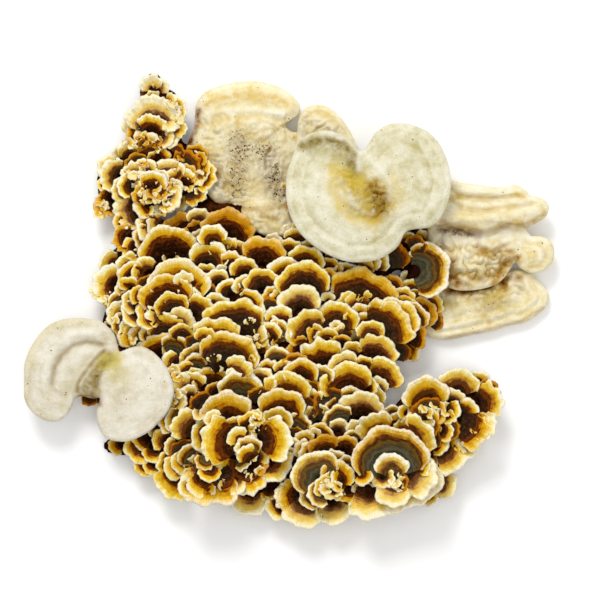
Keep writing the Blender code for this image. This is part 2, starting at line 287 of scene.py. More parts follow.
# What a tint letter gives: how olive the middle is, how far the dark comes out, and how pale
# the band is.
TINTS = {
    "g": (0.05, -0.04, 0.00), "y": (0.00, -0.18, 0.00), "o": (0.00, 0.10, -0.30),
    "b": (0.35, 0.30, -0.50), "k": (0.95, -0.12, 0.00), "c": (0.12, -0.20, 0.30),
    "w": (0.05, -0.60, 1.20), "p": (0.05, -0.45, 0.50),
}


def shelf_back(shelf):
    x, y, reach, faces = shelf[:4]
    facing = math.radians(faces)
    return (
        x - ROOT_BACK * reach * math.cos(facing),
        y + ROOT_BACK * reach * math.sin(facing),
    )


def shelf_plan(shelf, out, turn):
    """A shelf's point in plan; out is 0 at the root and 1 at the margin, turn -1 to 1 across."""
    x, y, reach, faces, spread = shelf
    angle = np.radians(faces + turn * spread / 2)
    back_x, back_y = shelf_back(shelf)
    grown = ROOT_WIDTH + (1 - ROOT_WIDTH) * out
    return (
        back_x + grown * (x + reach * np.cos(angle) - back_x),
        back_y + grown * (y - reach * np.sin(angle) - back_y),
    )


def shelf_height(shelf, root, out, turn):
    length = shelf[2] * (1 + ROOT_BACK) * PLAN_UNIT / MM
    rise = SHELF_SLOPE * length * (1 - SIDE_DROP * turn * turn)
    return root + SHELF_THICKNESS + rise * out * (1.3 - 0.3 * out)


def shelf_over(shelf, root, x, y):
    """The height of a shelf's upper face over a place in plan, or 0 beside the shelf."""
    shelf_x, shelf_y, reach, faces, spread = shelf
    back_x, back_y = shelf_back(shelf)
    away_x, away_y = x - back_x, back_y - y
    away = max(math.hypot(away_x, away_y), TINY)
    towards_x, towards_y = away_x / away, away_y / away
    middle_x, middle_y = shelf_x - back_x, back_y - shelf_y
    along = towards_x * middle_x + towards_y * middle_y
    margin = along + math.sqrt(along ** 2 - middle_x ** 2 - middle_y ** 2 + reach ** 2)
    angle = math.atan2(towards_y * margin - middle_y, towards_x * margin - middle_x)
    aside = math.remainder(angle - math.radians(faces), math.tau)
    turn = aside / math.radians(spread / 2)
    out = (away / margin - ROOT_WIDTH) / (1 - ROOT_WIDTH)
    if abs(turn) > 1 or not 0 <= out <= 1:
        return 0.0
    return shelf_height(shelf, root, out, turn)


rooted = []             # every shelf so far with the height of its root
tint_of = {}


def root_of(shelf, choose=min):
    """The height of a shelf's root, sunk in the mass or in the shelf below."""
    under = []
    for side in (-1, 0, 1):
        x, y = (float(value) for value in shelf_plan(shelf, 0, side))
        over = [shelf_over(other, root, x, y) for other, root in rooted]
        under.append(max(height_of_mass(x, y), *over, 0))
    return max(choose(under) - ROOT_DEPTH, LOWEST_ROOT)


def high_root(shelf):
    """The root of a shelf that grew on a larger one."""
    return root_of(shelf, max)


def waves(rng, turn, counts):
    """A wavy line from -1 to 1 across a shelf, of as many waves as counts says."""
    total = np.zeros_like(turn)
    for count in counts:
        total += np.sin(math.pi * count * turn + rng.uniform(0, math.tau)) / len(counts)
    return total


def shelf_piece(shelf, tint, root, ruffle, banded):
    """One shelf's upper face as an open grid, with its zones in the growth attribute."""
    x, y, reach, faces, spread = shelf
    rng = random.Random(f"{x} {y} {reach} {faces}")
    arc = math.radians(spread) * reach * PLAN_UNIT / MM
    columns = int(min(max(arc / SHELF_MESH_MM, FEWEST_COLUMNS), MOST_COLUMNS))
    bpy.ops.mesh.primitive_grid_add(
        x_subdivisions=columns, y_subdivisions=int(5 + reach / REACH_PER_ROW), size=2,
        calc_uvs=True,
    )
    piece = bpy.context.active_object
    mesh = piece.data
    at = read_all(mesh.vertices, "co", 3)
    turn, out = -at[0::3], 0.5 + at[1::3] / 2
    out = out ** ROW_CURVE

    # Waves along the margin: so many to a shelf, or one every so many millimetres.
    lobes = waves(rng, turn, [rng.uniform(1.6, 2.6), rng.uniform(2.8, 4.4)])
    crenate = waves(rng, turn, [
        arc / rng.uniform(7.0, 10.0), arc / rng.uniform(4.0, 6.0), arc / rng.uniform(2.4, 3.4),
    ])
    ruffled = waves(rng, turn, [arc / rng.uniform(7.0, 11.0), arc / rng.uniform(3.5, 5.0)])
    corner = np.clip((np.abs(turn) - CORNER_FROM) / (1 - CORNER_FROM), 0, 1)
    teeth = CRENATE_DEPTH / reach * (1 - crenate) * ruffle
    shrink = MARGIN_GROWTH - out ** 2 * (
        LOBE_DEPTH * (1 - lobes) + teeth + CORNER_DEPTH * corner ** 2
    )
    plan_x, plan_y = shelf_plan(shelf, out, turn)
    back_x, back_y = shelf_back(shelf)
    plan_x = np.clip(back_x + (plan_x - back_x) * shrink, *EDGES_X)
    plan_y = np.clip(back_y + (plan_y - back_y) * shrink, *EDGES_Y)

    length = reach * (1 + ROOT_BACK)
    inwards = (1 - out) * length * (1 - ROOT_WIDTH)
    band = BAND_BASE + BAND_SHARE * min(reach, BAND_REACH)
    band *= rng.uniform(0.85, 1.15) * banded
    rings = np.sin(inwards * rng.uniform(0.75, 1.1) + 2.2 * lobes + rng.uniform(0, math.tau))
    height = shelf_height(shelf, root, out, turn)
    height += RUFFLE_HEIGHT * ruffle * ruffled * out ** 3 * min(reach / RUFFLE_REACH, MOST_RUFFLE)
    height += LOBE_HEIGHT * lobes * out * reach / 10
    height += RING_HEIGHT * rings * np.clip(out * 2, 0, 1)
    lip = np.clip(1 - inwards / LIP_WIDTH, 0, 1)
    height -= LIP_DROP * lip ** 2
    height += FIBRE_HEIGHT * waves(rng, turn, [arc / 1.1, arc / 0.8]) * out

    at[0::3] = (plan_x - PLAN_MIDDLE_X) * PLAN_UNIT
    at[1::3] = (PLAN_MIDDLE_Y - plan_y) * PLAN_UNIT
    at[2::3] = np.maximum(height, LOWEST_FACE) * MM
    mesh.vertices.foreach_set("co", at)

    olive, dark, pale = TINTS[tint]
    values = np.empty((len(mesh.vertices), 4))
    values[:, 0] = inwards / band + dark + rng.uniform(-0.06, 0.06)
    values[:, 1] = np.clip(olive + rng.uniform(-0.1, 0.15), 0, 1)
    values[:, 2] = rng.random()     # a number of the shelf's own, which no material reads
    values[:, 3] = pale + rng.uniform(-0.15, 0.15)
    store_colours(mesh, "growth", values)

    corners = np.empty(len(mesh.loops), dtype=np.int32)
    mesh.loops.foreach_get("vertex_index", corners)
    flat = np.empty(len(mesh.loops) * 2)
    flat[0::2] = (turn * arc / 2)[corners] / UV_MM + rng.random() * 5
    flat[1::2] = (inwards * PLAN_UNIT / MM)[corners] / UV_MM
    mesh.uv_layers[0].name = "UVMap"
    mesh.uv_layers[0].data.foreach_set("uv", flat)

    thick = piece.vertex_groups.new(name="thick")
    for index, share in enumerate(np.clip(THICK_AT_ROOT - THINS_BY * out, THINNEST, 1)):
        thick.add([index], float(share), "REPLACE")
    return piece


def golden_material():
    """A shelf's upper face: short felt in zones, cream at the growing margin, then gold, brown
    and a nearly black or olive middle whose darkest end is partly painted shade, crossed by
    fine fibres that run to the margin."""
    made = new_material("zoned_felt_of_the_shelves", 0.82)
    tree = made.node_tree
    where = place_output(tree)
    inwards, olive_share, _, paleness = attribute(tree, "growth")
    flat = add_node(tree, "ShaderNodeUVMap", {"uv_map": "UVMap"}).outputs["UV"]

    blotches = noise_node(tree, where, 230.0, 3.0, 0.6).outputs["Fac"]
    zone = maths(tree, "MULTIPLY_ADD", blotches, 0.62, inwards)
    # Zone lines run along the margin, about a millimetre apart.
    along = add_node(tree, "ShaderNodeMapping", inputs={
        "Vector": flat, "Scale": (9.0, 95.0, 1.0),
    }).outputs["Vector"]
    lines = noise_node(tree, along, 1.0, 3.0, 0.7).outputs["Fac"]
    zone = maths(tree, "MULTIPLY_ADD", lines, 0.50, zone)
    zone = maths(tree, "MULTIPLY_ADD", zone, 0.4, -0.224, clamp=True)
    # The near-black end of the ramp, in the middle that the next shelves cover, is the felt's own
    # dark zone made darker still as painted shade.
    golden = ramp(tree, zone, [
        (0.00, "#EFE9D0"), (0.065, "#EADA9C"), (0.105, "#E6CB58"), (0.16, "#DBB124"),
        (0.225, "#CC960C"), (0.265, "#A66606"), (0.295, "#6A2E03"), (0.32, "#3E1503"),
        (0.355, "#6C3206"), (0.40, "#341103"), (0.55, "#230A02"), (1.00, "#1A0701"),
    ])
    olive = ramp(tree, zone, [
        (0.00, "#EFE9D4"), (0.045, "#EBDEB0"), (0.09, "#DFBF50"), (0.15, "#BE8E1C"),
        (0.22, "#703E0C"), (0.27, "#3A1A08"), (0.33, "#6C4E1C"), (0.41, "#3C3420"),
        (0.50, "#58553F"), (0.56, "#37321F"), (0.67, "#5B5B48"), (0.77, "#312C1C"),
        (1.00, "#241D10"),
    ])
    colour = mixed(tree, olive_share, golden, olive)
    # Fibres run from root to margin, a third of a millimetre apart.
    across = add_node(tree, "ShaderNodeMapping", inputs={
        "Vector": flat, "Scale": (260.0, 22.0, 1.0),
    }).outputs["Vector"]
    fibres = noise_node(tree, across, 1.0, 2.0).outputs["Fac"]
    shade = ranged(tree, fibres, 0.3, 0.7, 0.80, 1.16)
    colour = mixed(tree, 1.0, colour, shade, "MULTIPLY")
    # The pale kinds carry a bloom over their band.
    near = ranged(tree, zone, 0.40, 0.10, kind="SMOOTHSTEP")
    bloom = maths(tree, "MULTIPLY", paleness, 0.8, clamp=True)
    bloom = maths(tree, "MULTIPLY", bloom, near)
    colour = mixed(tree, bloom, colour, linear("#E4D298"))
    # Tan specks on the dark middle are painted highlights: glints of its grain.
    painted_glints = noise_node(tree, where, 620.0, 5.0, 0.75).outputs["Fac"]
    painted_glints = ranged(tree, painted_glints, 0.50, 0.74, 0.0, 0.45)
    painted_glints = maths(tree, "SUBTRACT", painted_glints, near, clamp=True)
    colour = mixed(tree, painted_glints, colour, linear("#7E541A"))
    # The deep kinds are redder over their band.
    deep = maths(tree, "MULTIPLY", paleness, -1.4, clamp=True)
    deep = maths(tree, "MULTIPLY", deep, near)
    colour = mixed(tree, deep, colour, linear("#D48432"), "MULTIPLY")
    relief = maths(tree, "MULTIPLY_ADD", fibres, 0.6, lines)
    return finish_material(made, colour, relief, 0.55, 0.0005)


def pore_material():
    """A shelf's underside: cream pores, five or so to the millimetre, drawn coarser."""
    made = new_material("cream_pores_under_the_shelves", 0.85)
    tree = made.node_tree
    where = place_output(tree)
    patches = noise_node(tree, where, 160.0, 4.0).outputs["Fac"]
    colour = ramp(tree, patches, [(0.30, "#A87A34"), (0.50, "#DCC68A"), (0.70, "#EFE6C6")])
    pores = add_node(tree, "ShaderNodeTexVoronoi", inputs={"Vector": where, "Scale": 2200.0})
    return finish_material(made, colour, pores.outputs["Distance"], 0.5, 0.0003)


golden_felt = golden_material()
cream_pores = pore_material()


def grow(name, rows, root_rule=root_of, thickness=1.9, ruffle=1.0, banded=1.0):
    """A group of shelves as one piece: each fan is bent, all are joined and made thick. banded
    is how wide their golden bands are, against those of the large ones."""
    fans = []
    for *shelf, tint in rows:
        shelf = tuple(shelf)
        root = root_rule(shelf)
        rooted.append((shelf, root))
        tint_of[shelf] = tint
        fans.append(shelf_piece(shelf, tint, root, ruffle, banded))
    piece = join_pieces(fans, name)
    piece.data.materials.append(golden_felt)
    piece.data.materials.append(cream_pores)
    apply_modifier(
        piece, "SOLIDIFY", thickness=thickness * MM, offset=-1, vertex_group="thick",
        use_even_offset=False, material_offset=1, material_offset_rim=0,
    )
    finish_piece(piece, "golden_shelf", "turkey_tail_cluster")


# x and y of the margin arc's middle, its reach, where it faces, its spread, and the tint.
grow("far_cluster", [
    (151, 85, 14, 105, 190, "p"), (158, 88, 13, 60, 160, "p"), (152, 96, 9, 95, 150, "y"),
    (153, 124, 31, 95, 175, "p"), (164, 116, 20, 10, 170, "p"), (150, 130, 19, 90, 150, "y"),
    (117, 176, 21, 160, 160, "c"), (134, 174, 15, 110, 190, "c"), (185, 165, 18, 60, 180, "b"),
    (190, 188, 20, 350, 180, "g"), (112, 200, 18, 200, 150, "o"), (139, 208, 28, 165, 175, "c"),
    (128, 238, 18, 170, 150, "o"), (168, 100, 10, 20, 140, "c"), (176, 128, 13, 5, 150, "y"),
], ruffle=2.3)
grow("far_tiers", [
    (185, 238, 28, 110, 120, "o"), (226, 239, 32, 82, 150, "o"), (169, 258, 34, 95, 180, "g"),
    (262, 264, 29, 80, 130, "o"), (344, 262, 26, 80, 140, "b"), (385, 262, 26, 60, 140, "b"),
    (305, 266, 22, 75, 160, "g"), (208, 262, 23, 80, 170, "y"),
])
grow("left_column", [
    (114, 286, 24, 160, 150, "y"), (146, 272, 17, 130, 150, "g"), (120, 315, 16, 150, 160, "c"),
    (160, 358, 26, 115, 120, "g"), (142, 446, 20, 215, 160, "g"),
])


LONG_CLEARANCE = 7.5


def long_root(shelf):
    """The root of a long shelf, high enough for its whole margin to stand clear of the mass."""
    clear = max(
        height_of_mass(*(float(value) for value in shelf_plan(shelf, 1, side)))
        for side in (-0.8, -0.4, 0, 0.4, 0.8)
    )
    return clear + LONG_CLEARANCE - shelf_height(shelf, 0, 1, 0)


grow("long_far_tiers", [
    (357, 316, 49, 75, 110, "o"), (236, 345, 47, 95, 100, "g"),
], long_root)
grow("middle_tiers", [
    (244, 273, 17, 95, 170, "g"), (178, 291, 34, 85, 180, "g"), (262, 288, 21, 95, 170, "g"),
    (304, 291, 31, 95, 170, "g"), (362, 310, 22, 80, 150, "g"),
    (168, 306, 33, 105, 150, "g"), (421, 314, 18, 30, 200, "o"), (300, 308, 25, 95, 170, "c"),
    (392, 326, 30, 50, 130, "g"), (374, 338, 42, 45, 100, "g"), (312, 336, 28, 130, 140, "g"),
    (336, 326, 26, 85, 170, "g"), (166, 338, 27, 95, 130, "g"),
])
grow("long_near_tiers", [
    (216, 352, 36, 88, 100, "g"), (225, 370, 40, 75, 130, "g"), (326, 394, 56, 97, 52, "g"),
], long_root)
grow("inner_tiers", [
    (196, 367, 15, 100, 160, "k"), (214, 361, 10, 95, 150, "c"), (217, 371, 8, 90, 160, "w"),
    (250, 323, 8, 100, 160, "c"), (269, 325, 12, 80, 150, "k"), (205, 340, 14, 95, 140, "g"),
    (184, 283, 13, 100, 150, "c"), (350, 400, 15, 95, 140, "k"), (290, 410, 14, 80, 150, "k"),
    (422, 270, 30, 10, 200, "k"), (213, 240, 17, 100, 180, "y"),
], high_root)
grow("near_tiers", [
    (177, 347, 18, 70, 150, "g"), (239, 369, 22, 50, 100, "g"),
    (374, 360, 27, 65, 130, "g"), (184, 388, 16, 150, 160, "c"), (199, 364, 22, 110, 170, "k"),
    (301, 377, 20, 90, 190, "g"), (212, 387, 22, 100, 170, "g"), (380, 381, 25, 60, 150, "g"),
    (349, 393, 32, 105, 150, "g"), (285, 402, 32, 80, 120, "g"), (240, 398, 28, 90, 140, "k"),
    (365, 407, 27, 88, 140, "g"), (281, 416, 29, 85, 150, "g"), (361, 418, 28, 92, 150, "c"),
    (318, 421, 18, 90, 150, "k"), (180, 405, 18, 150, 160, "c"),
])
grow("lower_left_rosette", [
    (213, 455, 52, 265, 80, "g"), (180, 475, 28, 228, 110, "g"), (195, 431, 26, 150, 100, "g"),
    (250, 494, 24, 270, 140, "c"), (206, 470, 28, 255, 140, "c"), (228, 422, 32, 100, 140, "g"),
    (277, 424, 18, 80, 180, "g"), (262, 440, 31, 5, 120, "g"), (236, 442, 36, 175, 110, "g"),
    (270, 460, 24, 320, 130, "g"), (246, 468, 28, 275, 110, "g"), (242, 468, 27, 215, 120, "g"),
    (234, 419, 17, 85, 160, "k"),
], banded=1.2)
grow("shelves_on_the_long_one", [
    (203, 480, 19, 250, 150, "g"), (184, 462, 15, 205, 150, "g"), (232, 480, 17, 268, 150, "c"),
    (206, 459, 12, 235, 160, "k"),
], high_root)
grow("lower_right_rosettes", [
    (368, 481, 40, 275, 80, "c"), (411, 478, 24, 290, 120, "g"), (385, 496, 21, 278, 130, "g"),
    (306, 500, 30, 255, 110, "c"), (332, 503, 24, 275, 130, "c"),
    (300, 497, 24, 185, 130, "g"), (397, 460, 52, 300, 100, "c"), (458, 392, 25, 85, 150, "g"),
    (480, 403, 25, 15, 140, "g"), (427, 401, 26, 100, 180, "g"), (459, 421, 34, 328, 90, "g"),
    (462, 443, 20, 318, 130, "c"), (440, 447, 22, 345, 130, "g"), (404, 446, 34, 40, 100, "g"),
    (382, 440, 30, 120, 100, "g"), (325, 452, 19, 110, 150, "o"),
    (318, 477, 28, 125, 190, "k"), (336, 478, 20, 70, 180, "g"), (390, 465, 41, 95, 190, "k"),
    (408, 473, 30, 345, 120, "c"), (393, 486, 22, 268, 150, "c"), (391, 471, 20, 90, 170, "k"),
    (441, 449, 29, 318, 90, "c"), (475, 422, 23, 335, 110, "c"),
], banded=1.15)

# ---------------------------------------------------------------------------------------------
# The small shelves, curls and buds that fill the gaps and sit on the large ones, made as the
# large ones are, but a few millimetres to a centimetre wide.
# ---------------------------------------------------------------------------------------------
grow("small_shelves_far", [
    (236, 254, 15, 60, 160, "g"), (128, 290, 15, 120, 160, "g"), (110, 168, 15, 150, 150, "c"),
    (170, 257, 10, 90, 240, "c"), (205, 294, 14, 80, 170, "b"), (186, 301, 17, 70, 120, "c"),
    (172, 310, 20, 100, 180, "g"), (222, 271, 8, 120, 160, "c"), (328, 299, 9, 95, 180, "c"),
    (352, 306, 17, 110, 150, "g"), (368, 308, 18, 60, 150, "g"), (443, 313, 7, 60, 180, "g"),
    (315, 332, 10, 100, 200, "g"), (336, 327, 8, 90, 200, "c"), (350, 318, 8, 95, 180, "g"),
    (244, 294, 7, 60, 180, "b"),
    (407, 277, 8, 130, 180, "c"), (415, 254, 7, 120, 180, "c"), (415, 248, 14, 60, 160, "b"),
    (404, 264, 12, 120, 150, "b"), (108, 303, 8, 160, 180, "c"), (140, 296, 12, 160, 150, "g"),
    (126, 148, 9, 130, 170, "o"), (120, 152, 10, 150, 170, "c"), (143, 179, 10, 90, 200, "c"),
    (104, 206, 13, 205, 150, "o"), (103, 184, 8, 180, 160, "g"), (150, 143, 12, 95, 160, "c"),
    (160, 178, 10, 60, 170, "c"), (172, 188, 12, 20, 160, "p"), (186, 174, 12, 40, 160, "o"),
    (196, 178, 10, 10, 160, "w"), (178, 200, 13, 330, 160, "c"), (160, 206, 10, 270, 170, "w"),
    (150, 196, 9, 200, 160, "g"), (199, 159, 9, 30, 170, "o"), (207, 168, 9, 10, 170, "o"),
    (176, 152, 10, 60, 160, "b"), (174, 122, 9, 20, 200, "w"), (129, 126, 9, 170, 180, "w"),
    (158, 128, 9, 60, 150, "o"), (122, 222, 11, 190, 150, "g"), (150, 226, 12, 250, 150, "o"),
    (124, 347, 12, 225, 150, "o"), (118, 338, 10, 190, 160, "c"), (88, 398, 10, 260, 160, "b"),
    (132, 352, 9, 100, 160, "o"), (113, 264, 16, 165, 160, "g"), (100, 290, 12, 175, 150, "g"),
])
grow("small_shelves_near", [
    (277, 360, 15, 80, 180, "k"), (165, 441, 15, 150, 160, "g"), (240, 440, 15, 130, 140, "g"),
    (346, 450, 16, 65, 140, "o"),
    (371, 337, 18, 90, 150, "g"), (357, 342, 14, 95, 150, "c"), (353, 353, 13, 95, 150, "g"),
    (402, 342, 13, 100, 150, "g"), (173, 352, 14, 90, 190, "g"), (235, 374, 20, 60, 120, "g"),
    (231, 374, 7, 90, 180, "c"), (215, 420, 12, 130, 150, "c"),
    (250, 456, 9, 40, 180, "k"), (250, 484, 8, 270, 200, "c"), (262, 474, 9, 300, 180, "c"),
    (200, 413, 9, 240, 180, "c"), (196, 398, 7, 120, 180, "c"), (175, 402, 13, 20, 160, "c"),
    (153, 452, 13, 250, 160, "g"), (178, 467, 16, 200, 140, "g"), (192, 466, 11, 120, 150, "c"),
    (210, 468, 14, 270, 160, "g"), (188, 487, 11, 200, 160, "c"), (292, 497, 19, 175, 110, "g"),
    (305, 441, 12, 100, 160, "g"), (315, 434, 8, 90, 180, "c"), (118, 446, 12, 200, 150, "o"),
    (243, 478, 10, 280, 160, "k"), (380, 476, 10, 100, 170, "c"), (400, 483, 10, 280, 170, "c"),
    (416, 474, 10, 20, 160, "c"), (417, 466, 14, 20, 150, "g"), (362, 484, 14, 275, 150, "c"),
    (362, 474, 12, 300, 150, "g"), (463, 403, 8, 0, 180, "c"), (474, 422, 14, 330, 150, "g"),
    (447, 416, 10, 330, 160, "g"), (427, 420, 10, 310, 160, "c"), (415, 408, 9, 200, 160, "g"),
    (405, 413, 9, 160, 160, "g"), (431, 407, 7, 90, 200, "c"), (465, 447, 14, 318, 150, "c"),
    (486, 394, 16, 40, 140, "b"),
])

# ---------------------------------------------------------------------------------------------
# Young shelves between the others, wherever the mass would show. They face the way that their
# neighbours do there, and come out from beneath them. Their narrower bands and often darker
# tints are painted shade for the recesses that they fill.
# ---------------------------------------------------------------------------------------------
FILL_X, FILL_Y = (90, 520), (70, 530)   # where spots for them are looked for
FILL_STEP = 6
FILL_SHIFT = 2
FILL_REACH = 12, 21
FILL_SPREAD = 110, 165
FILL_TURN = 25          # how far one may turn from the way its neighbours face
SPOT_OUT = 0.62         # how far out from its arc's middle a young shelf covers its spot
LOWEST_FILLED = 4       # none grow where the mass is lower than this
COVER_DEPTH = 1         # a shelf this little below the mass's surface still covers it
NEIGHBOURHOOD = 14      # how near a margin has to be to turn a young shelf its way
HEADROOM = 0.8          # how far a young shelf's margin stands over the mass
HOLLOWS = [             # x, y, half length, half width: places where none grow
    (122, 345, 10, 8), (402, 268, 20, 14), (236, 300, 12, 10), (292, 215, 8, 6),
    (458, 478, 12, 12), (252, 203, 50, 32), (180, 152, 16, 10), (145, 150, 10, 6),
    (274, 345, 10, 9), (429, 268, 22, 24),
]


def facing_at(x, y):
    """The way that shelves face near a place, in degrees, and the nearest one's tint."""
    across, up, closest, tint = 0.0, TINY, math.inf, "g"
    for shelf, _ in given:
        other_x, other_y, reach, faces, spread = shelf
        away = math.degrees(math.atan2(other_y - y, x - other_x))
        aside = math.degrees(math.remainder(math.radians(away - faces), math.tau))
        facing = math.radians(faces + min(max(aside, -spread / 2), spread / 2))
        from_margin = math.hypot(
            x - other_x - reach * math.cos(facing), y - other_y + reach * math.sin(facing)
        )
        weight = math.exp(-((from_margin / NEIGHBOURHOOD) ** 2))
        across += weight * math.cos(facing)
        up += weight * math.sin(facing)
        if from_margin < closest:
            closest, tint = from_margin, tint_of[shelf]
    return math.degrees(math.atan2(up, across)), tint


def root_in_mass(shelf):
    """The root of a young shelf, in the mass below, high enough for its margin to show."""
    lowest, rise = math.inf, shelf_height(shelf, 0, 1, 0)
    for side in (-1, 0, 1):
        x, y = (float(value) for value in shelf_plan(shelf, 0, side))
        lowest = min(lowest, height_of_mass(x, y))
    x, y = (float(value) for value in shelf_plan(shelf, 0.9, 0))
    return max(lowest - ROOT_DEPTH, height_of_mass(x, y) + HEADROOM - rise, LOWEST_ROOT)


def is_open(x, y):
    if height_of_mass(x, y) < LOWEST_FILLED:
        return False
    if any(((x - a) / b) ** 2 + ((y - c) / d) ** 2 < 1 for a, c, b, d in HOLLOWS):
        return False
    lowest = height_of_mass(x, y) - COVER_DEPTH
    return not any(shelf_over(shelf, root, x, y) > lowest for shelf, root in rooted + young)


given = list(rooted)
young, young_rows = [], []
fill_rng = random.Random(5)
spots = [
    (x + fill_rng.uniform(-FILL_SHIFT, FILL_SHIFT), y + fill_rng.uniform(-FILL_SHIFT, FILL_SHIFT))
    for x in range(*FILL_X, FILL_STEP) for y in range(*FILL_Y, FILL_STEP)
]
fill_rng.shuffle(spots)
for x, y in spots:
    if not is_open(x, y):
        continue
    reach = fill_rng.uniform(*FILL_REACH)
    faces, tint = facing_at(x, y)
    faces += fill_rng.uniform(-FILL_TURN, FILL_TURN)
    shelf = (
        x - SPOT_OUT * reach * math.cos(math.radians(faces)),
        y + SPOT_OUT * reach * math.sin(math.radians(faces)), reach, faces,
        fill_rng.uniform(*FILL_SPREAD),
    )
    young.append((shelf, root_in_mass(shelf)))
    # Young shelves often take the dark tints o, b and k, and get narrower golden bands below:
    # painted shade, so that they read as recesses in shadow.
    young_rows.append((*shelf, fill_rng.choice(tint + tint + "ggyycobk")))
half = len(young_rows) // 2
grow("young_shelves", young_rows[:half], root_in_mass, banded=0.8)
grow("more_young_shelves", young_rows[half:], root_in_mass, banded=0.8)

# ---------------------------------------------------------------------------------------------
# Chips, curls and crumbs of broken shelf, cream, golden and white, that lie in the hollows. They
# are small shelves too, turned every way and more ruffled. Each row below is an oval area, how
# many lie in it and their tints.
# ---------------------------------------------------------------------------------------------
CHIP_REACH = 3.5, 8.5
CHIP_SPREAD = 90, 190

chip_rng = random.Random(11)
chip_rows = []
for area_x, area_y, half_x, half_y, count, tints in (
    (152, 138, 18, 12, 20, "yoob"), (174, 114, 9, 16, 14, "wwoo"), (190, 166, 20, 14, 18, "ooyb"),
    (160, 198, 24, 14, 24, "yyow"), (128, 146, 10, 6, 8, "oyo"), (182, 186, 18, 10, 14, "yyow"),
    (138, 168, 20, 10, 10, "yobo"), (150, 176, 24, 12, 8, "wcyo"),
    (102, 208, 8, 12, 10, "ogc"), (255, 425, 9, 16, 14, "ccwgg"), (250, 474, 14, 10, 7, "ccw"),
    (267, 343, 14, 7, 9, "cgwc"), (330, 490, 15, 9, 9, "wcc"), (400, 480, 12, 7, 7, "ccg"),
    (432, 408, 18, 8, 8, "cgc"), (130, 346, 12, 10, 10, "ccg"), (176, 385, 8, 22, 9, "ccg"),
    (110, 310, 10, 20, 8, "cgc"),
):
    for _ in range(count):
        angle, away = chip_rng.uniform(0, math.tau), math.sqrt(chip_rng.random())
        chip_rows.append((
            area_x + half_x * away * math.cos(angle), area_y + half_y * away * math.sin(angle),
            chip_rng.uniform(*CHIP_REACH), chip_rng.uniform(0, 360),
            chip_rng.uniform(*CHIP_SPREAD), chip_rng.choice(tints),
        ))
grow("chips_and_curls", chip_rows, thickness=1.3, ruffle=2.2)

# ---------------------------------------------------------------------------------------------
# The pale brackets: thick, felted caps, cream to greenish white, each rooted beside or in the
# mass. Each is one or more lobes melted together, then worked with rings, grooves and lumps.
# ---------------------------------------------------------------------------------------------
LOBE_MESH_MM = 1.3
PALE_VOXEL = 0.0007
PALE_EDGES_X = 23.5, 555.5
RIM_GROWTH = 1.022      # makes up for what smoothing takes off the rim
RIM_STEEPNESS, RIM_CURVE = 3.2, 0.55    # how soon, up the sphere, the rim is fully thick
CROWN_CURVE = 1.6
NOISE_SIZES = 17, 7, 2.6            # of wandering rings, lumps and grit, in half millimetres
RING_WANDER, LUMP_WANDER, WANDER_FROM = 2.2, 0.8, 6
GRIT_HEIGHT = 0.05
RAGGEDNESS = 0.35       # how uneven the edge of a mark is, in widths
CREASE_WIDTH = 0.09
BILLOW_HEIGHT, BILLOW_DROP = 0.85, 0.13     # of the crumbs, in millimetres for their size
COARSEST, FINER_BY = 9, 4.5         # crumbs of the first size have no pores, smaller ones more
ZONES_WIDTH = 50        # how far in from the margin the felt is zoned


def around(points, share):
    """Points of a smooth closed curve through the given ones; share runs from 0 to 1 round."""
    points = np.array(points, float)
    position = share * len(points)
    first = np.floor(position).astype(int)
    part = (position - first)[:, None]
    before, start, end, after = (points[(first + step) % len(points)] for step in (-1, 0, 1, 2))
    return 0.5 * (
        2 * start + (end - before) * part + (2 * before - 5 * start + 4 * end - after) * part ** 2
        + (3 * start - before - 3 * end + after) * part ** 3
    )


def pale_lobe(x, y, crown, edge, thickness, foot, narrowing, outline):
    """One lobe with its crown, its rounded rim and its foot, from a sphere whose equator is
    drawn out to the rim."""
    width = max(max(axis) - min(axis) for axis in zip(*outline)) * PLAN_UNIT / MM
    sides = int(math.pi * width / LOBE_MESH_MM)
    bpy.ops.mesh.primitive_uv_sphere_add(segments=sides, ring_count=sides // 2, radius=1)
    piece = bpy.context.active_object
    mesh = piece.data
    at = read_all(mesh.vertices, "co", 3)
    share = np.arctan2(at[1::3], at[0::3]) / math.tau % 1
    out = np.clip(np.hypot(at[0::3], at[1::3]), 0, 1) ** 1.5
    rim = RIM_GROWTH * (around(outline, share) - np.array([x, y]))
    lip = thickness / 2 * np.clip(np.abs(at[2::3]) * RIM_STEEPNESS, 0, 1) ** RIM_CURVE
    middle = edge - thickness / 2
    over = middle + lip + (crown - edge) * (1 - out ** CROWN_CURVE)
    under = middle - lip - (middle - thickness / 2 - foot) * (1 - out) ** narrowing
    height = np.where(at[2::3] >= 0, over, under)
    at[0::3] = (np.clip(x + rim[:, 0] * out, *PALE_EDGES_X) - PLAN_MIDDLE_X) * PLAN_UNIT
    at[1::3] = (PLAN_MIDDLE_Y - y - rim[:, 1] * out) * PLAN_UNIT
    at[2::3] = height * MM
    mesh.vertices.foreach_set("co", at)
    builder = bmesh.new()
    builder.from_mesh(mesh)
    if builder.calc_volume(signed=True) < 0:
        bmesh.ops.reverse_faces(builder, faces=builder.faces)
    builder.to_mesh(mesh)
    builder.free()
    return piece


def distance_to(points, x, y):
    """How far places in plan are from a line through the points, or from a single one."""
    nearest = np.full(len(x), math.inf)
    for (start_x, start_y), (end_x, end_y) in zip(points, points[1:] or points):
        run_x, run_y = end_x - start_x, end_y - start_y
        share = (x - start_x) * run_x + (y - start_y) * run_y
        share = np.clip(share / max(run_x ** 2 + run_y ** 2, TINY), 0, 1)
        away = np.hypot(x - start_x - share * run_x, y - start_y - share * run_y)
        nearest = np.minimum(nearest, away)
    return nearest


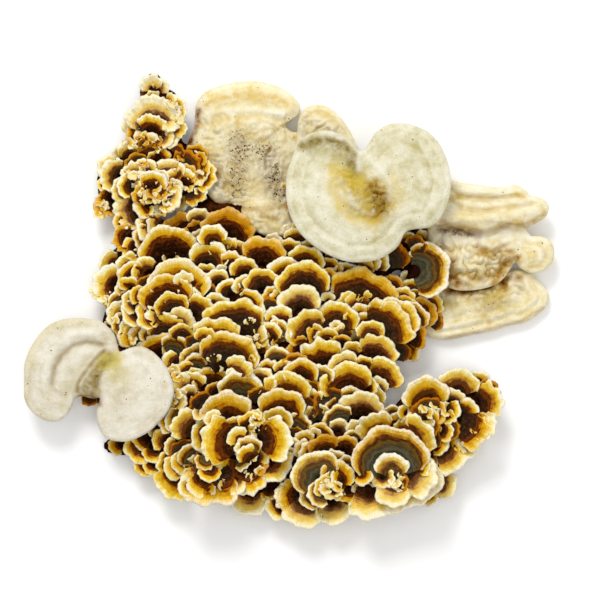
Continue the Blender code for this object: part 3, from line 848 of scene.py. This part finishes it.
def pale_piece(name, node, material, lobes, margins, rings, marks, crumbs=(), lumps=0.3):
    """A bracket of one or more lobes. margins are the lines that its rings run along; a ring is
    its distance from them, its height and its width; a mark is a line or a spot with its width,
    its height, and how ochre, olive, brown and white it is; crumbs are where it is lumpy, how
    much, the size of the lumps, and how much ochre and brown is painted in the creases between
    them, partly as stain and partly as painted shade."""
    piece = join_pieces([pale_lobe(*lobe) for lobe in lobes], name)
    bpy.ops.object.transform_apply(location=True, rotation=True, scale=True)
    apply_modifier(piece, "REMESH", mode="VOXEL", voxel_size=PALE_VOXEL)
    apply_modifier(piece, "SMOOTH", factor=0.6, iterations=4)
    mesh = piece.data
    at = read_all(mesh.vertices, "co", 3)
    normals = read_all(mesh.vertex_normals, "vector", 3)
    upwards = np.clip(normals[2::3] * 2.5, 0, 1)
    x = at[0::3] / PLAN_UNIT + PLAN_MIDDLE_X
    y = PLAN_MIDDLE_Y - at[1::3] / PLAN_UNIT
    places = [Vector(place) for place in np.column_stack((x, y, at[2::3] / PLAN_UNIT))]
    wander, lump, grit = (
        np.array([noise.noise(place / size) for place in places]) for size in NOISE_SIZES
    )
    inwards = np.minimum.reduce([distance_to(line, x, y) for line in margins])
    uneven = RING_WANDER * wander + LUMP_WANDER * lump
    inwards += uneven * np.clip(inwards / WANDER_FROM, 0, 1)
    height = lumps * lump + GRIT_HEIGHT * grit
    for place, ring_height, width in rings:
        height += ring_height * np.exp(-(((inwards - place) / width) ** 2))
    amounts = np.zeros((len(x), 4))
    for points, width, mark_height, *colours in marks:
        away = distance_to(points, x, y) + RAGGEDNESS * width * lump
        near = np.exp(-((away / width) ** 2))
        height += mark_height * near
        amounts += near[:, None] * np.array(colours)
    crumbly = np.zeros(len(x))
    for points, width, amount, size, *colours in crumbs:
        here = amount * np.exp(-((distance_to(points, x, y) / width) ** 2))
        billow = np.array([abs(noise.noise(place / size)) for place in places])
        crease_stain_and_shade = here * np.exp(-((billow / CREASE_WIDTH) ** 2))
        height += here * size * (BILLOW_HEIGHT * billow - BILLOW_DROP)
        # Ochre and brown go into the creases between the crumbs, partly as stain and partly as
        # painted shade.
        amounts[:, 0] += colours[0] * crease_stain_and_shade
        amounts[:, 2] += colours[1] * crease_stain_and_shade
        crumbly += here * (COARSEST - size) / FINER_BY
    crumbly = np.clip(crumbly, 0, 1)
    at[2::3] = np.maximum(at[2::3] + height * upwards * MM, FLOOR_GAP)
    mesh.vertices.foreach_set("co", at)
    # The fourth value is the depth of grooves and hollows, which the felt darkens with painted
    # shade.
    values = np.column_stack((inwards / ZONES_WIDTH, upwards, crumbly, -height))
    store_colours(mesh, "growth", values)
    store_colours(mesh, "stains", amounts)
    mesh.materials.append(material)
    finish_piece(piece, "pale_bracket", node)


def pale_material(name, shade, base, light, groove_shade, ochre):
    """Dry felt of a pale bracket: mottled, in faint zones along the margin, with ochre, olive
    and brown stains where it has aged, painted shade in its grooves and in the creases between
    crumbs, and dark pores where it is crumbly."""
    made = new_material(name, 0.9)
    tree = made.node_tree
    where = place_output(tree)
    inwards, _, crumbly, depth = attribute(tree, "growth")
    mottle = noise_node(tree, where, 120.0, 6.0, 0.62).outputs["Fac"]
    zones = ramp(tree, inwards, [
        (0.00, 0.60), (0.05, 0.66), (0.10, 0.48), (0.15, 0.54), (0.27, 0.62), (0.33, 0.42),
        (0.39, 0.52), (0.55, 0.58), (0.62, 0.46), (1.00, 0.52),
    ])
    tone = add_node(tree, "ShaderNodeMix", {"data_type": "FLOAT"}, {
        "Factor": 0.38, "A": mottle, "B": zones,
    }).outputs["Result"]
    colour = ramp(tree, tone, [(0.38, shade), (0.52, base), (0.66, light)])
    nap = noise_node(tree, where, 1150.0, 3.0, 0.7).outputs["Fac"]
    fuzz = ranged(tree, nap, 0.3, 0.7, 0.90, 1.07)
    colour = mixed(tree, 1.0, colour, fuzz, "MULTIPLY")
    # Grooves are painted darker, towards the groove colour: painted shade.
    painted_groove_shade = ranged(tree, depth, 0.15, 1.3, 0.0, 0.6)
    colour = mixed(tree, painted_groove_shade, colour, linear(groove_shade))
    # Ochre, olive, brown and white stains have ragged edges.
    patches = noise_node(tree, where, 330.0, 4.0, 0.7).outputs["Fac"]
    ragged = maths(tree, "MULTIPLY_ADD", patches, 1.7, -0.25)
    for amount, code in zip(attribute(tree, "stains"), (ochre, "#7A723C", "#713A08", "#E8E5D8")):
        here = maths(tree, "MULTIPLY", ragged, amount, clamp=True)
        colour = mixed(tree, here, colour, linear(code))
    # Creases between the crumbs are painted a darker ochre: painted shade.
    crumb = noise_node(tree, where, 420.0, 3.0, 0.6)
    ridge = maths(tree, "PINGPONG", crumb.outputs["Fac"], 0.06)
    crease_stain_and_shade = ranged(tree, ridge, 0.018, 0.004, 0.0, 0.85)
    crease_stain_and_shade = maths(tree, "MULTIPLY", crease_stain_and_shade, crumbly, clamp=True)
    colour = mixed(tree, crease_stain_and_shade, colour, linear("#B48A32"))
    # Pores a little over a millimetre apart open in trails where it is crumbly.
    warped = mixed(tree, 0.003, where, crumb.outputs["Color"], "ADD")
    pores = add_node(tree, "ShaderNodeTexVoronoi", inputs={"Vector": warped, "Scale": 780.0})
    trail = maths(tree, "PINGPONG", mottle, 0.5)
    trail = maths(tree, "MULTIPLY_ADD", trail, 8.0, crumbly)
    opened = ranged(tree, trail, 4.45, 4.60)
    pore = ranged(tree, pores.outputs["Distance"], 0.46, 0.36)
    pore = maths(tree, "MULTIPLY", opened, pore)
    colour = mixed(tree, pore, colour, linear("#3C2810"))
    # Dark specks, under a millimetre across, lie here and there.
    specks = add_node(tree, "ShaderNodeTexVoronoi", inputs={"Vector": where, "Scale": 260.0})
    some = add_node(tree, "ShaderNodeSeparateColor", inputs={"Color": specks.outputs["Color"]})
    size = maths(tree, "MULTIPLY", some.outputs["Red"], 0.10)
    speck = maths(tree, "LESS_THAN", specks.outputs["Distance"], size)
    colour = mixed(tree, speck, colour, linear("#4A3A20"))
    relief = maths(tree, "MULTIPLY_ADD", patches, 1.6, nap)
    crumbled = maths(tree, "MULTIPLY", ridge, crumbly)
    relief = maths(tree, "MULTIPLY_ADD", crumbled, 22.0, relief)
    return finish_material(made, colour, relief, 0.7, 0.0005)


# The fourth colour given to each felt is the painted shade of its grooves.
green_white_felt = pale_material(
    "greenish_white_felt", "#B4AB7C", "#D4CEB0", "#E2DECC", "#BC9C48", "#D0B64C",
)
white_felt = pale_material(
    "off_white_felt", "#BBAF8E", "#D2CAB5", "#E0DBCB", "#A49468", "#CDBB5C",
)
cream_felt = pale_material("cream_felt", "#D4BE76", "#E5DAB4", "#EBE5D0", "#BFA050", "#D0AE54")

HEART_RIM = [
    (362, 153), (351, 143), (335, 134), (318, 133), (303, 141), (294, 158), (288, 178),
    (288, 200), (293, 219), (304, 236), (325, 252), (350, 261), (376, 259), (396, 247),
    (406, 231), (430, 226), (444, 208), (449, 184), (443, 156), (428, 135), (400, 125),
    (378, 132), (362, 153),
]
pale_piece(
    "heart_cap", "heart_bracket", green_white_felt,
    [(368, 202, 37.6, 32, 3.4, 14, 4, HEART_RIM[:-1])],
    [HEART_RIM], [(10, 0.2, 3), (15, -0.3, 3), (31, -0.2, 4)],
    [
        ([(303, 147), (312, 142), (325, 140), (338, 143), (348, 149), (355, 157)], 5,
         -0.8, 0.1, 1.0, 0.3, 0),
        ([(312, 150), (330, 148), (352, 162)], 9, 0, 0.2, 0.7, 0, 0),
        ([(352, 165), (357, 172)], 6, -0.6, 0.4, 0.8, 0.2, 0),
        ([(361, 148), (358, 160), (359, 170)], 3, 0.7, 0, 0, 0, 0.9),
        ([(335, 170), (346, 176), (352, 184)], 8, -0.3, 1.1, 0, 0, 0),
        ([(355, 182), (364, 192), (370, 206)], 12, -1.4, 1.0, 0.2, 0, 0),
        ([(373, 188), (382, 196), (384, 206), (376, 213)], 7.5, -1.2, 1.2, 0, 0.9, 0),
        ([(334, 186), (340, 205), (354, 218), (372, 222)], 8, -0.4, 0.85, 0, 0, 0),
        ([(392, 182), (398, 195), (392, 208)], 8, 0, 0.55, 0, 0, 0),
        ([(343, 183), (350, 194), (350, 204), (361, 212), (371, 215)], 2.2,
         0.5, 0, 0, 0, 0.45),
        ([(368, 160), (381, 170), (390, 186), (388, 200)], 3.5, 0.8, 0, 0, 0, 0.4),
        ([(373, 211)], 1.4, 0.3, 0, 0, 0, 2),
        ([(380, 140), (425, 160)], 12, 0, 0.1, 0.2, 0, 0),
        ([(315, 190), (325, 225), (350, 240)], 12, 0, 0, 0, 0, 0.4),
    ],
    crumbs=[
        ([(374, 194), (379, 207)], 11, 1.1, 5.6, 1.0, 0.9),
        ([(342, 176), (356, 196)], 11, 0.7, 7, 0.7, 0.1),
        ([(350, 208), (365, 216)], 7, 0.5, 5.5, 0.4, 0),
    ], lumps=0.22,
)

UPPER_TOP = [
    (190, 140), (194, 118), (196, 103), (205, 91), (226, 84), (250, 81), (270, 84), (286, 91),
    (297, 102), (299, 112), (290, 119),
]
pale_piece(
    "upper_cream_bracket", "upper_bracket", cream_felt,
    [
        (246, 150, 14, 9.5, 3.0, -4, 0.5, [
            (189, 140), (194, 128), (195.5, 114), (197, 103), (206, 92), (226, 84), (250, 81),
            (270, 84), (286, 91), (297, 102), (299, 112), (295, 117), (287, 120), (285, 126),
            (291, 131), (302, 133), (306, 146), (303, 182), (291, 208), (262, 213), (238, 208),
            (217, 188), (200, 170), (186, 154),
        ]),
        (222, 190, 12, 9, 3.0, -4, 0.6, [
            (206, 180), (207, 192), (216, 202), (230, 203), (240, 192), (236, 178), (220, 174),
        ]),
        (272, 213, 15, 12.5, 3.0, -4, 1.0, [
            (243, 206), (244, 219), (256, 231), (272, 237), (290, 235), (300, 226), (302, 214),
            (290, 204), (266, 202),
        ]),
    ],
    [UPPER_TOP], [(5, 0.2, 2)],
    [
        ([(208, 102), (226, 96), (250, 93), (274, 97), (288, 106)], 9, 2.6, 0, 0, 0, 0),
        ([(206, 104), (222, 97), (250, 94), (276, 97), (288, 105)], 3.5, -0.5, 1.1, 0, 0.1, 0),
        ([(203, 112), (220, 106), (250, 104), (268, 106)], 3, 0, 0.3, 0, 0, 0),
        ([(206, 114), (230, 109), (258, 109), (282, 114)], 3.5, 0.9, 0, 0, 0, 0.5),
        ([(200, 124), (230, 118), (262, 117), (284, 121)], 3.5, -0.6, 0.35, 0, 0, 0),
        ([(238, 150), (262, 165), (278, 186)], 14, 0, 0, 0, 0, 0.4),
        ([(198, 110), (197, 122), (191, 138), (186, 149)], 3.2, 0, 0.2, 0, 1.3, 0),
        ([(194, 152), (206, 164), (212, 172)], 8, 0, 0.5, 0, 0.7, 0),
        ([(237, 122)], 3, 0.2, 1.2, 0, 0.2, 0),
        ([(270, 148), (265, 154), (265, 168)], 1.6, 0, 0.9, 0, 0.9, 0),
        ([(240, 140), (240, 185)], 8, 0, 0.4, 0, 0.1, 0),
        ([(262, 180), (288, 190)], 9, 0, 0.3, 0, 0.3, 0),
        ([(214, 172), (224, 182)], 4, -0.8, 0.7, 0.3, 0.4, 0),
        ([(222, 178), (218, 190), (226, 198)], 3, 0.6, 0, 0, 0, 0.5),
        ([(208, 196), (230, 203)], 3, 0, 0.4, 0.1, 0.5, 0),
        ([(262, 216), (276, 219)], 3, -0.8, 0.7, 0.1, 0.3, 0),
        ([(291, 207), (295, 218)], 4, -1.5, 0.2, 0, 1.3, 0),
        ([(240, 207), (262, 210), (288, 205)], 3.5, -1.0, 0.4, 0, 0.5, 0),
        ([(246, 229), (262, 236), (290, 236)], 2.5, 0, 0.3, 0, 1.0, 0),
    ],
    crumbs=[
        ([(206, 130), (288, 130)], 12, 0.6, 7, 0.25, 0),
        ([(238, 142), (236, 190)], 13, 1.0, 5.2, 0.8, 0.1),
        ([(266, 152), (280, 192)], 15, 1.0, 5.2, 0.8, 0.1),
        ([(215, 150), (218, 185)], 10, 0.7, 6.5, 0.4, 0),
        ([(255, 222), (285, 222)], 12, 0.6, 7, 0.3, 0.1),
    ], lumps=0.5,
)

pale_piece(
    "small_cream_lobe", "small_bracket", cream_felt,
    [(326, 142, 16.5, 12, 3.0, -4, 0.8, [
        (297.5, 130), (298.5, 121), (302.5, 112), (311, 105), (326, 106), (338, 114),
        (347, 126), (354, 139), (357, 151), (344, 166), (322, 170), (303, 162), (297, 144),
    ])],
    [[(301, 130), (302, 113), (311, 105), (326, 106), (338, 114), (347, 126), (356, 145)]],
    [(7, -0.2, 2)],
    [
        ([(308, 114), (318, 112), (330, 118), (340, 130)], 2.5, -0.3, 0.5, 0, 0, 0),
        ([(305, 124), (318, 122)], 4, 0, 0.3, 0, 0, 0.3),
    ],
    crumbs=[([(306, 124), (330, 132)], 12, 0.9, 6.5, 0.35, 0)], lumps=0.5,
)

TWIN_LEFT = [
    (108, 328), (100, 322), (90, 320), (75, 319), (60, 321), (48, 327), (38, 337), (30, 350),
    (25, 363), (23.5, 378), (23.5, 392), (26, 402), (31, 410), (38, 416), (46, 420), (56, 421),
]
TWIN_RIGHT = [
    (124, 351), (138, 347), (150, 351), (160, 360), (167, 370), (172, 383), (173, 394),
    (168, 410), (160, 420), (150, 430), (140, 436), (130, 440), (120, 441), (108, 438),
]
pale_piece(
    "twin_lobed_bracket", "twin_bracket", white_felt,
    [
        (74, 372, 22, 19, 3.5, 4, 3, [
            (112, 333), *TWIN_LEFT[1:], (64, 417), (70, 409), (74, 400), (80, 396), (96, 398),
            (110, 388), (118, 360), (116, 344),
        ]),
        (126, 394, 23.5, 21, 3.5, -4, 3, [
            *TWIN_RIGHT, (101, 431), (97, 418), (98, 405), (101, 396), (98, 384), (102, 368),
            (112, 357),
        ]),
    ],
    [TWIN_LEFT, TWIN_RIGHT], [(9, -0.15, 2), (14, 0.12, 2), (21, -0.12, 2.5)],
    [
        ([(45, 388), (45, 364), (56, 345), (73, 334), (96, 331)], 5, 0.8, 0, 0, 0, 0.7),
        ([(49, 388), (53, 368), (60, 355), (71, 346), (87, 342), (104, 345)], 5,
         -0.9, 0, 0.15, 0.1, 0),
        ([(51, 384), (54, 368), (61, 356), (72, 346), (87, 342), (102, 345)], 1.8,
         -0.5, 0, 0.2, 0.25, 0),
        ([(58, 388), (66, 366), (80, 352), (94, 350)], 5, 0.5, 0, 0, 0, 0.5),
        ([(66, 396), (74, 378), (88, 360)], 4, -0.4, 0.2, 0.1, 0, 0),
        ([(27, 368), (32, 348), (44, 331), (64, 322), (88, 322)], 5, 0, 0.35, 0, 0, 0),
        ([(24, 385), (27, 405), (44, 420)], 3, 0, 0.25, 0, 0, 0),
        ([(62, 407)], 3, 0, 0.6, 0, 0.1, 0),
        ([(82, 396), (90, 380), (100, 366), (110, 357)], 6, -1.2, 0.3, 0.5, 0.15, 0),
        ([(104, 351), (92, 363), (84, 374), (78, 383), (77, 392)], 1.8, -0.9, 0.2, 0.25, 0.5, 0),
        ([(97, 380), (93, 392)], 4, -0.6, 0.2, 1.1, 0.5, 0),
        ([(104, 363), (115, 360)], 7, 0.3, 2.2, 0.4, 0, 0), ([(98, 391)], 3, 0.3, 1.2, 0.8, 0, 0),
        ([(121, 375)], 10, 0, 0.6, 0.3, 0, 0),
        ([(110, 378), (122, 374)], 7, 0, 0.25, 0.2, 0, 0),
        ([(82, 402), (97, 402)], 4, -2.2, 0.1, 0.2, 1.3, 0),
        ([(138, 366), (154, 395), (125, 425)], 17, 0, 0, 0, 0, 0.6),
        ([(122, 358), (150, 375), (158, 400), (140, 426)], 4, -0.2, 0, 0, 0, 0),
    ], crumbs=[([(84, 392), (100, 368)], 7, 0.5, 6, 0.3, 0.3)], lumps=0.16,
)

pale_piece(
    "folded_cream_bracket", "folded_bracket", cream_felt,
    [
        (480, 191, 16.5, 12, 3.0, -4, 0.6, [
            (440, 188), (449, 179), (460, 182), (478, 184), (504, 187), (514, 184), (523, 188),
            (529, 195), (515, 200), (486, 202), (458, 201), (440, 198),
        ]),
        (500, 208, 19.5, 15, 3.0, -4, 0.8, [
            (438, 198), (458, 198), (486, 199), (508, 198), (530, 195), (545, 200), (549, 207),
            (546, 216), (536, 223), (526, 227), (508, 222), (488, 214), (462, 212), (440, 209),
        ]),
        (472, 219, 22.5, 18, 3.0, -4, 0.8, [
            (432, 214), (440, 207), (462, 209), (488, 211), (506, 208), (520, 213), (523, 224),
            (508, 223), (497, 228), (486, 234), (472, 233), (459, 228), (445, 225), (434, 224),
        ]),
        (478, 254, 16.5, 12, 3.0, -4, 0.5, [
            (430, 222), (450, 222), (476, 226), (500, 222), (520, 223), (530, 236), (527, 248),
            (516, 260), (510, 270), (498, 283), (478, 289), (456, 289), (442, 279), (433, 258),
        ]),
        (533, 255, 15.5, 12, 3.0, -4, 1.5, [
            (522, 243), (530, 237), (542, 236), (552, 242), (555.5, 252), (552, 264), (544, 271),
            (533, 273), (523, 269), (518, 262), (520, 250),
        ]),
    ],
    [[(450, 179), (478, 184), (514, 184), (529, 195), (545, 200), (549, 207), (540, 221)],
     [(532, 237), (542, 236), (552, 242), (555, 252), (552, 264), (544, 271), (533, 273)]],
    [(6, -0.2, 2)],
    [
        ([(440, 184), (450, 188), (459, 195), (472, 197), (486, 199), (506, 197), (515, 195),
          (526, 197)], 2.6, -1.2, 0.2, 0, 0.15, 0),
        ([(440, 194), (452, 200), (463, 208), (477, 211), (488, 211), (501, 207), (515, 207),
          (532, 204)], 2.6, -1.0, 0.15, 0, 0.1, 0),
        ([(462, 189), (500, 192)], 4, 0.7, 0, 0, 0, 0.4),
        ([(470, 204), (500, 203), (528, 200)], 4, 0.7, 0, 0, 0, 0.4),
        ([(450, 216), (475, 220), (505, 215), (535, 212)], 5, 0.8, 0, 0, 0, 0.3),
        ([(442, 222), (462, 228), (486, 232), (502, 226), (514, 221), (526, 226), (545, 214)], 3,
         -0.4, 0.7, 0, 0.6, 0),
        ([(440, 229), (458, 231), (480, 235)], 3, -0.9, 0.1, 0.3, 0.8, 0),
        ([(438, 236), (470, 240), (500, 236), (525, 234)], 7, 0, 0, 0.15, 0, 0.7),
        ([(519, 258)], 4.5, 0.4, 1.3, 0, 1.0, 0),
        ([(505, 246), (513, 254)], 3, -0.6, 0.8, 0, 0.5, 0),
        ([(506, 262), (500, 276), (494, 284)], 3, -0.4, 0.9, 0, 0.55, 0),
        ([(446, 262), (449, 274), (458, 284)], 4, -0.3, 0.8, 0, 0.6, 0),
        ([(480, 248), (490, 256)], 4, -0.8, 0.6, 0, 0.4, 0),
        ([(474, 278), (492, 276), (508, 264)], 5, -1.2, 0.8, 0, 0.45, 0),
        ([(452, 258), (456, 276)], 4, -0.4, 0.7, 0.1, 0.5, 0),
        ([(483, 253), (500, 250), (511, 262)], 3, -0.8, 0.8, 0, 0.5, 0),
        ([(440, 262), (450, 282), (468, 286)], 5, -0.5, 0.5, 0, 0.6, 0),
        ([(526, 242), (540, 244), (547, 254), (540, 266), (530, 268)], 2.5, -0.5, 0.4, 0, 0, 0),
        ([(524, 248), (535, 251), (538, 259), (531, 264)], 2.5, -0.4, 0.3, 0, 0, 0),
    ],
    crumbs=[
        ([(442, 248), (470, 250), (505, 248)], 11, 1.0, 9, 0.55, 0.2),
        ([(450, 268), (478, 270), (500, 262)], 13, 1.0, 8, 0.9, 0.6),
        ([(440, 230), (468, 234)], 6, 0.8, 5, 0.2, 0.5),
    ], lumps=0.4,
)

LOWER_RIM = [
    (427, 334), (436, 338), (450, 339.5), (463, 337), (476, 334), (494, 331), (508, 326),
    (524, 323), (534, 318), (545, 309), (549.5, 299), (548, 291), (540, 282),
]
pale_piece(
    "lower_cream_bracket", "lower_bracket", cream_felt,
    [(488, 308, 9.5, 6, 3.0, -4, 0.8, [
        *LOWER_RIM, (531, 273), (518, 270), (504, 274), (486, 279), (466, 282), (448, 284),
        (434, 296), (424, 308), (422, 322),
    ])],
    [LOWER_RIM], [(4, 0.3, 2), (8, -0.45, 2), (13, 0.4, 2.5), (20, -0.4, 2.5), (27, 0.3, 3)],
    [
        ([(535, 297)], 9, 1.0, 0, 0, 0, 0.2), ([(524, 286)], 7, 1.2, 0.1, 0, 0, 0.3),
        ([(455, 315)], 14, 0.8, 0, 0.1, 0, 0), ([(487, 318), (492, 328)], 3, -0.8, 0.5, 0, 0, 0),
        ([(503, 284), (507, 288)], 3.5, -0.6, 1.3, 0, 0.65, 0),
        ([(448, 290), (470, 289), (490, 285)], 4, -0.8, 0.7, 0.1, 1.0, 0),
        ([(494, 262), (498, 272), (505, 285)], 4, -0.5, 0.8, 0, 0.35, 0),
        ([(478, 298), (500, 300), (485, 308)], 8, 0, 0.6, 0.25, 0, 0),
        ([(497, 279), (520, 277)], 4, -0.8, 0.5, 0, 0.9, 0),
        ([(454, 290), (472, 287), (488, 285)], 5, -1.2, 0.4, 0.1, 0.9, 0),
        ([(440, 300), (452, 308)], 9, 0, 0.4, 0.35, 0, 0),
        ([(488, 302), (508, 304)], 9, 0, 0.3, 0.3, 0, 0),
        ([(545, 308), (520, 322), (480, 332), (448, 338)], 2, 0, 0.5, 0, 0.4, 0),
    ],
    crumbs=[
        ([(470, 292), (520, 284)], 11, 0.8, 8, 0.6, 0.3),
        ([(445, 300), (500, 306)], 14, 0.4, 7, 0.3, 0),
    ], lumps=0.5,
)

# ---------------------------------------------------------------------------------------------
# The pale table that the clump lies on, soft studio light from beyond it, and a camera that
# looks straight down on it from far above, as the photograph does.
# ---------------------------------------------------------------------------------------------
TABLE_SIZE = 6
WORLD_LIGHT = 0.62
FRAME_WIDTH_PX = 600
CAMERA_HEIGHT = 2.4
CAMERA_RANGE = 20
SENSOR = 36.0
MIDDLE_HEIGHT = 0.022   # the height at which the photograph's scale holds

bpy.ops.mesh.primitive_plane_add(size=TABLE_SIZE, location=(0, 0, 0))
table = bpy.context.active_object
table.name = "pale_table"
paper = new_material("matt_white_card", 0.9)
paper.node_tree.nodes["Principled BSDF"].inputs["Base Color"].default_value = linear("#F7F7F7")
table.data.materials.append(paper)

for name, place, size, power in (
    ("key_light", (-0.35, 1.1, 1.25), 0.6, 17.0),
    ("fill_light", (0.9, -0.6, 1.4), 1.6, 6.0),
    ("top_light", (0.0, 0.0, 1.9), 1.4, 6.0),
):
    bpy.ops.object.light_add(type="AREA", location=place)
    light = bpy.context.active_object
    light.name = name
    light.data.size = size
    light.data.energy = power
    light.rotation_euler = Vector(place).to_track_quat("Z", "Y").to_euler()

world = bpy.context.scene.world or bpy.data.worlds.new("studio")
bpy.context.scene.world = world
world.use_nodes = True
world.node_tree.nodes["Background"].inputs["Color"].default_value = (1, 1, 1, 1)
world.node_tree.nodes["Background"].inputs["Strength"].default_value = WORLD_LIGHT
bpy.context.scene.view_settings.view_transform = "Standard"

bpy.ops.object.camera_add(location=(
    (FRAME_WIDTH_PX / 2 - PLAN_MIDDLE_X) * PLAN_UNIT,
    (PLAN_MIDDLE_Y - FRAME_WIDTH_PX / 2) * PLAN_UNIT,
    CAMERA_HEIGHT,
))
camera = bpy.context.active_object
camera.data.sensor_width = SENSOR
camera.data.lens = SENSOR * (CAMERA_HEIGHT - MIDDLE_HEIGHT) / (FRAME_WIDTH_PX * PLAN_UNIT)
camera.data.clip_end = CAMERA_RANGE
bpy.context.scene.camera = camera
